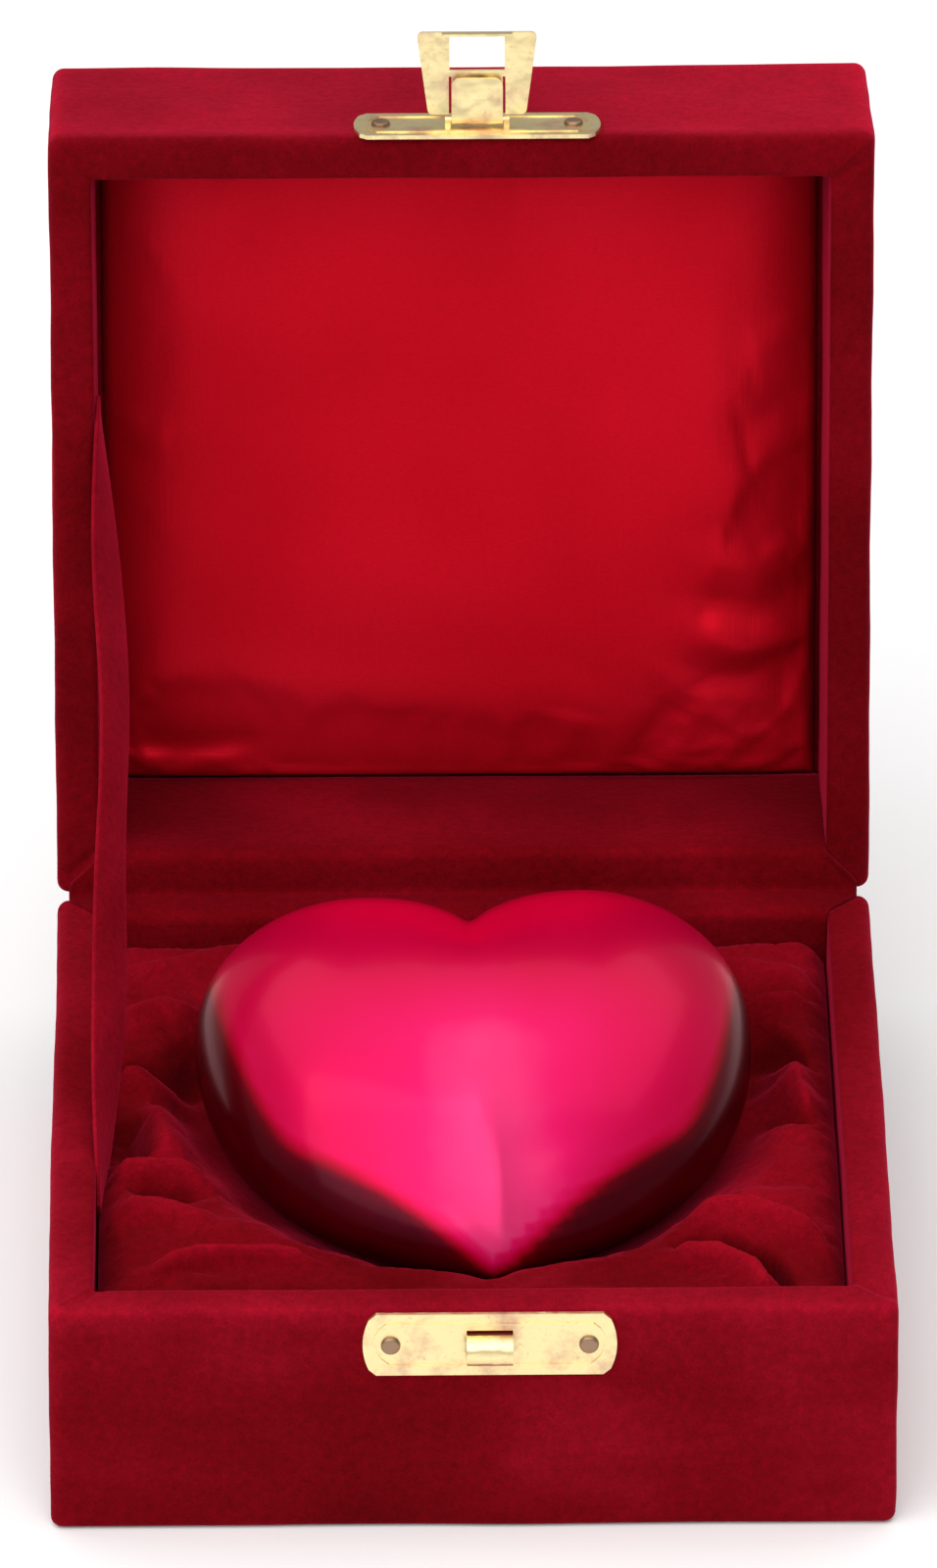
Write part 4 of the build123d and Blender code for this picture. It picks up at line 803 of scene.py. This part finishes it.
g = np.linspace(-1, 1, NG)
g = 0.75 * g + 0.25 * np.sin(g * math.pi / 2)
GX, GY = np.meshgrid(g * CX, g * CY)
front_drop = smoothstep(-8, -44, GY)
top = 29.6 - 1.7 * front_drop
plan = np.dstack([GX, GY, 0 * GX])
top += 0.6 * ripple(plan, 15.0, 1) + 0.25 * ripple(plan, 6.0, 2)
folds = [
    ([(-46, 22), (-40, 27), (-34, 24)], 3.0, 1.0, 0.4),
    ([(-45, 13), (-38, 15), (-34, 21)], 2.2, -1.5, 0.2),
    ([(-46, 8.5), (-42, 9), (-36, 11.5)], 1.6, 1.3, 0.5),
    ([(-45, 3), (-44, -5), (-43, -10)], 2.6, -2.0, 0.0),
    ([(-41, 4), (-39, -4), (-38, -9)], 2.6, 0.9, 0.2),
    ([(-46, -13), (-40, -14.2), (-33, -14)], 1.5, 1.0, -0.3),
    ([(-43, -17), (-39, -18.4), (-35, -18.2)], 1.3, -2.2, 0.2),
    ([(-45, -22), (-40, -23), (-33, -27)], 2.4, 0.7, 0.3),
    ([(-42, -36), (-35, -33.6), (-25, -33.2), (-19, -34.5)], 1.5, 0.9, 0.5),
    ([(-38, -43), (-28, -41), (-18, -41)], 3.0, -0.6, 0.0),
    ([(35, 40), (42, 37), (46, 30)], 2.2, 0.7, 0.3),
    ([(34, 27), (39, 27.6), (45, 27.5)], 1.6, 1.0, 0.4),
    ([(37, 22), (41, 19), (44, 14)], 1.8, -1.8, 0.2),
    ([(41, 18), (43, 9), (44, 0)], 1.7, 0.9, 0.4),
    ([(35, 6), (38, 9), (43, 8.6)], 1.5, 1.0, 0.4),
    ([(38, 3), (41, 2), (45, -2)], 2.0, -1.0, 0.0),
    ([(27, -24), (36, -25.5), (45, -31)], 2.0, 1.2, 0.4),
    ([(27, -29.5), (33, -30), (38, -34), (41, -42)], 1.25, -2.2, 0.3),
    ([(25, -31.8), (32, -33.0), (36, -37), (38, -44)], 2.0, 1.0, 0.2),
    ([(14, -43), (20, -41), (24, -44)], 1.4, -0.8, 0.2),
    ([(-8, -44.5), (2, -43.6), (12, -45)], 1.6, -0.7, 0.0),
    ([(-30, 44), (-10, 43), (12, 44)], 3.0, 0.4, 0.0),
]
for pts, w, h, s in folds:
    top += 2.4 * fold_line(GX, GY, pts, 0.9 * w, h, s)
waist = heart_world[: RC * LEVELS].reshape(LEVELS, RC, 3)[LEVELS // 2 - 2]
apart = np.sqrt(((GX[..., None] - waist[:, 0]) ** 2 + (GY[..., None] - waist[:, 1]) ** 2).min(-1))
ruche = np.clip((top - 28.6) / 2.0, -1, 1)
under = np.array([[under_heart(x, y) or 90.0 for x, y in zip(rx, ry)] for rx, ry in zip(GX, GY)]) - 0.45
apart = np.where(under < 80, 0, apart)
top -= 5.6 * np.exp(-((apart / 4.0) ** 2)) * (1 + 0.25 * ripple(plan, 9.0, 3))
wide = under.copy()
for dx in (-1, 0, 1):
    for dy in (-1, 0, 1):
        wide = np.minimum(wide, np.roll(np.roll(under, dx, 1), dy, 0))
edge_x = smoothstep(0, 5.5, CX - np.abs(GX))
edge_y = smoothstep(0, 4.5, CY - np.abs(GY))
puff = top - (rounded_edge(edge_x, 3.2) + rounded_edge(edge_y, 2.4))
SOFTNESS = 1.1  # how softly the cushion's face turns into the recess, in mm
low = np.minimum(puff, wide)
soft = -SOFTNESS * np.log(np.exp(-(puff - low) / SOFTNESS) + np.exp(-(wide - low) / SOFTNESS)) + low
cushion_z = np.minimum(soft, wide)
cushion_z = np.maximum(cushion_z, 5.2)
near_heart = smoothstep(8.0, 3.0, apart)
for _ in range(14):
    cushion_z = np.minimum(cushion_z + (neighbours_mean(cushion_z) - cushion_z) * 0.8 * near_heart, wide)
under_z = np.minimum(22.6, cushion_z - 1.2)
under_z = np.maximum(under_z, 3.8)
top_pts = np.dstack([GX, GY, cushion_z]).reshape(-1, 3)
low_pts = np.dstack([GX, GY, under_z]).reshape(-1, 3)
cushion = make_object("cushion", np.vstack([top_pts, low_pts]), closed_grid(NG), VELVET_IN, merge=0.0005)
edge_gap = np.minimum(CX - np.abs(GX), CY - np.abs(GY)).ravel()
held = np.flatnonzero((edge_gap < 1.0) | (apart.ravel() < 3.0))
swell(cushion, np.concatenate([held, np.arange(NG * NG, 2 * NG * NG)]), 4.0, 0.03, 1.0)
# painted shade and light: fold valleys are painted darker and crests lighter, and the cushion's underside is
# painted dark; the crests also stand for rubbed pile
painted_fold_shade = np.concatenate([ruche.ravel(), np.full(NG * NG, -1.0)])
point_values(cushion, "pile_tone_and_painted_light", (1.2 * painted_fold_shade)[: len(cushion.data.vertices)])
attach(cushion, "base")
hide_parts("cushion_velvet", "cushion_foam")

# ---- satin pad ----
PX, PY0, PY1 = 47.45, -99.45, -6.55
NP = 110
gp = np.linspace(-1, 1, NP)
gp = 0.7 * gp + 0.3 * np.sin(gp * math.pi / 2)
SX, SY = np.meshgrid(gp * PX, (PY0 + PY1) / 2 + gp * (PY1 - PY0) / 2)
ex = np.clip(1 - (PX - np.abs(SX)) / 17.0, 0, 1)
ey = np.clip(1 - ((PY1 - PY0) / 2 - np.abs(SY - (PY0 + PY1) / 2)) / 17.0, 0, 1)
crown = 5.0 * np.sqrt(np.clip(1 - ex**2.2, 0, 1)) * np.sqrt(np.clip(1 - ey**2.2, 0, 1))
P3 = np.dstack([SX, SY, 0 * SX])
crown += 0.16 * ripple(P3, 20.0, 2) * (1 - np.maximum(ex, ey))
pulls = [
    ([(46, -40), (40, -38), (32, -39)], 1.6, 0.55, 0.3),
    ([(46, -34), (39, -31), (30, -33)], 1.5, -0.6, 0.3),
    ([(46, -27), (38, -26), (31, -29)], 1.6, 0.6, 0.3),
    ([(46, -20), (38, -21), (28, -24)], 1.6, -0.5, 0.3),
    ([(46, -62), (41, -58), (36, -57)], 1.6, -0.35, 0.3),
    ([(46, -72), (42, -69), (38, -68)], 1.5, 0.3, 0.3),
    ([(-45, -9.5), (-38, -9.2), (-28, -9.8)], 1.2, 0.5, 0.4),
    ([(-44, -12.5), (-36, -12), (-26, -13)], 1.2, -0.45, 0.4),
    ([(10, -8), (14, -12), (15, -18)], 1.5, 0.3, 0.3),
    ([(24, -8), (25, -13), (29, -19)], 1.5, -0.35, 0.3),
    ([(-46, -60), (-42, -57), (-38, -57)], 1.4, 0.25, 0.3),
    ([(-30, -98), (-29, -93), (-31, -88)], 1.4, 0.25, 0.3),
    ([(8, -98), (9, -94), (8, -90)], 1.4, -0.25, 0.3),
]
for pts, w, h, s in pulls:
    crown += 1.2 * fold_line(SX, SY, pts, 1.7 * w, h, s) * smoothstep(0.3, 2.0, crown)
pad_top = 26.9 - np.clip(crown, 0.0, 5.6)
PAD_BACK = 27.86
pad_points = np.vstack([
    lid_points(np.dstack([SX, SY, pad_top]).reshape(-1, 3)),
    lid_points(np.dstack([SX, SY, np.full_like(SX, PAD_BACK)]).reshape(-1, 3)),
])
pad = make_object("satin_panel", pad_points, closed_grid(NP), SATIN, merge=0.0005)
edge_gap = np.minimum(PX - np.abs(SX), (PY1 - PY0) / 2 - np.abs(SY - (PY0 + PY1) / 2)).ravel()
held = np.concatenate([np.flatnonzero(edge_gap < 1.0), np.arange(NP * NP, 2 * NP * NP)])
right_side = smoothstep(8, 36, SX) * smoothstep(-78, -44, SY)
slack = np.maximum(right_side, smoothstep(-28, -12, SY)).ravel()
share = 0.15 + 0.85 * np.concatenate([slack, np.zeros(NP * NP)])
swell(pad, held, 4.0, 0.015, 0.8, share[:, None])
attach(pad, "lid")
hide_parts("satin_pad")


# ---- outer cloth of the hinge ----
def outer_strip():
    xs = T * 52.0
    path = [(53.0, z) for z in np.linspace(BASE_H - LEAF, 32.1, 8)]
    path += [(53.02, 32.5), (53.12, 32.72), (53.3, 32.76)]
    end = [lid_point(0, 0.0, z) for z in np.linspace(0.5, LEAF, 9)]
    path += [(p[1], p[2]) for p in end]
    rows = np.array([[(x, y, z) for x in xs] for y, z in path])
    ob = make_object("fold_cloth", rows.reshape(-1, 3), grid_faces(len(path), len(xs)), VELVET, merge=0.0005)
    bm = bmesh.new()
    bm.from_mesh(ob.data)
    bm.faces.ensure_lookup_table()
    if bm.faces[0].normal.y < 0:
        bmesh.ops.reverse_faces(bm, faces=bm.faces)
    bm.to_mesh(ob.data)
    bm.free()
    bake(ob, ("SOLIDIFY", {"thickness": 0.45 * MM, "offset": -1.0}))
    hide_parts("hinge_cloth")
    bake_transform(ob)


outer_strip()

# ---- stay ribbon ----
STAY_LIGHT = 1.3  # the ribbon is paler all over, with no known cause
stay_base = np.array([-47.85, 53.0 - 71.0, BASE_H - 7.0])
stay_lid = lid_point(-47.85, -67.0, 6.0)
NS = 90
run = stay_lid - stay_base
length = np.linalg.norm(run)
forward = run / length
sideways = np.cross(forward, np.array([1.0, 0, 0]))
sideways /= np.linalg.norm(sideways)
ribbon = []
for i in range(NS):
    t = i / (NS - 1)
    hang = 4 * t * (1 - t)
    centre = stay_base + run * t
    kinks = 0.9 * math.exp(-(((t - 0.62) / 0.16) ** 2)) + 0.35 * math.exp(-(((t - 0.28) / 0.12) ** 2))
    centre = centre + np.array([1.5 * hang + kinks, 0, 0])
    twist = math.radians(33) * hang + math.radians(9) * math.sin(9 * t) * hang
    half = 4.0
    across = sideways * math.cos(twist) + np.array([1.0, 0, 0]) * math.sin(twist)
    normal = np.cross(forward, across)
    section = []
    for s in np.linspace(-1, 1, 11):
        curl = 0.35 * s * s * hang
        section.append(centre + across * half * s + normal * curl)
    ribbon.append(section)
ribbon = np.array(ribbon)
stay = make_object("stay_ribbon", ribbon.reshape(-1, 3), grid_faces(NS, 11), VELVET, merge=0.0005)
bake(stay, ("SOLIDIFY", {"thickness": 0.55 * MM, "offset": 0.0}), ("BEVEL", {"width": 0.2 * MM, "segments": 2}))
point_values(stay, "pile_tone_and_painted_light", np.full(len(stay.data.vertices), STAY_LIGHT))
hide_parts("lid_stay")
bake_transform(stay)


# ---- stage, light and camera ----
floor = make_object(
    "floor",
    [(-4000, -4000, -0.05), (4000, -4000, -0.05), (4000, 4000, -0.05), (-4000, 4000, -0.05)],
    [(0, 1, 2, 3)],
)
fm, _, fb = new_material("floor_pale")
fb.inputs["Base Color"].default_value = (0.975, 0.975, 0.975, 1)
fb.inputs["Roughness"].default_value = 0.9
fb.inputs["Specular IOR Level"].default_value = 0.1
floor.data.materials.append(fm)

world = bpy.data.worlds.new("studio")
scene.world = world
world.use_nodes = True
world.node_tree.nodes["Background"].inputs["Color"].default_value = (1, 1, 1, 1)
world.node_tree.nodes["Background"].inputs["Strength"].default_value = 0.33


def softbox(name, at, aim, size_x, size_y, power):
    data = bpy.data.lights.new(name, "AREA")
    data.energy = power
    data.shape = "RECTANGLE"
    data.size, data.size_y = size_x, size_y
    ob = bpy.data.objects.new(name, data)
    scene.collection.objects.link(ob)
    ob.location = at
    ob.rotation_mode = "QUATERNION"
    ob.rotation_quaternion = (Vector(aim) - Vector(at)).to_track_quat("-Z", "Y")


middle = (0, 0.02, 0.05)
softbox("overhead", (0.0, 0.45, 1.55), middle, 3.4, 2.0, 22.0)
softbox("front", (-0.40, -1.03, 1.27), middle, 2.8, 1.6, 29.0)

cam_data = bpy.data.cameras.new("camera")
cam = bpy.data.objects.new("camera", cam_data)
scene.collection.objects.link(cam)
scene.camera = cam
# the view comes from a fit to the box's corners, with the lid held at 8 degrees past vertical and the depth
# at 106 mm
AZ, EL, ROLL, DIST = -0.0121884, 0.5119677, -0.00034647, 1.873773648
LENS = 334.836
target = Vector((0.0000779, 0.001, 0.0787065))
back = Vector((math.sin(AZ) * math.cos(EL), -math.cos(AZ) * math.cos(EL), math.sin(EL)))
fwd = -back
right = fwd.cross(Vector((0, 0, 1))).normalized()
up = right.cross(fwd)
right_r = right * math.cos(ROLL) + up * math.sin(ROLL)
up_r = -right * math.sin(ROLL) + up * math.cos(ROLL)
rot = Matrix((right_r, up_r, back)).transposed()
cam.rotation_mode = "QUATERNION"
cam.rotation_quaternion = rot.to_quaternion()
cam.location = target + back * DIST
cam_data.sensor_fit = "AUTO"
cam_data.sensor_width = 36.0
cam_data.lens = LENS
cam_data.clip_start, cam_data.clip_end = 0.1, 20.0

scene.view_settings.view_transform = "Standard"
scene.view_settings.look = "None"
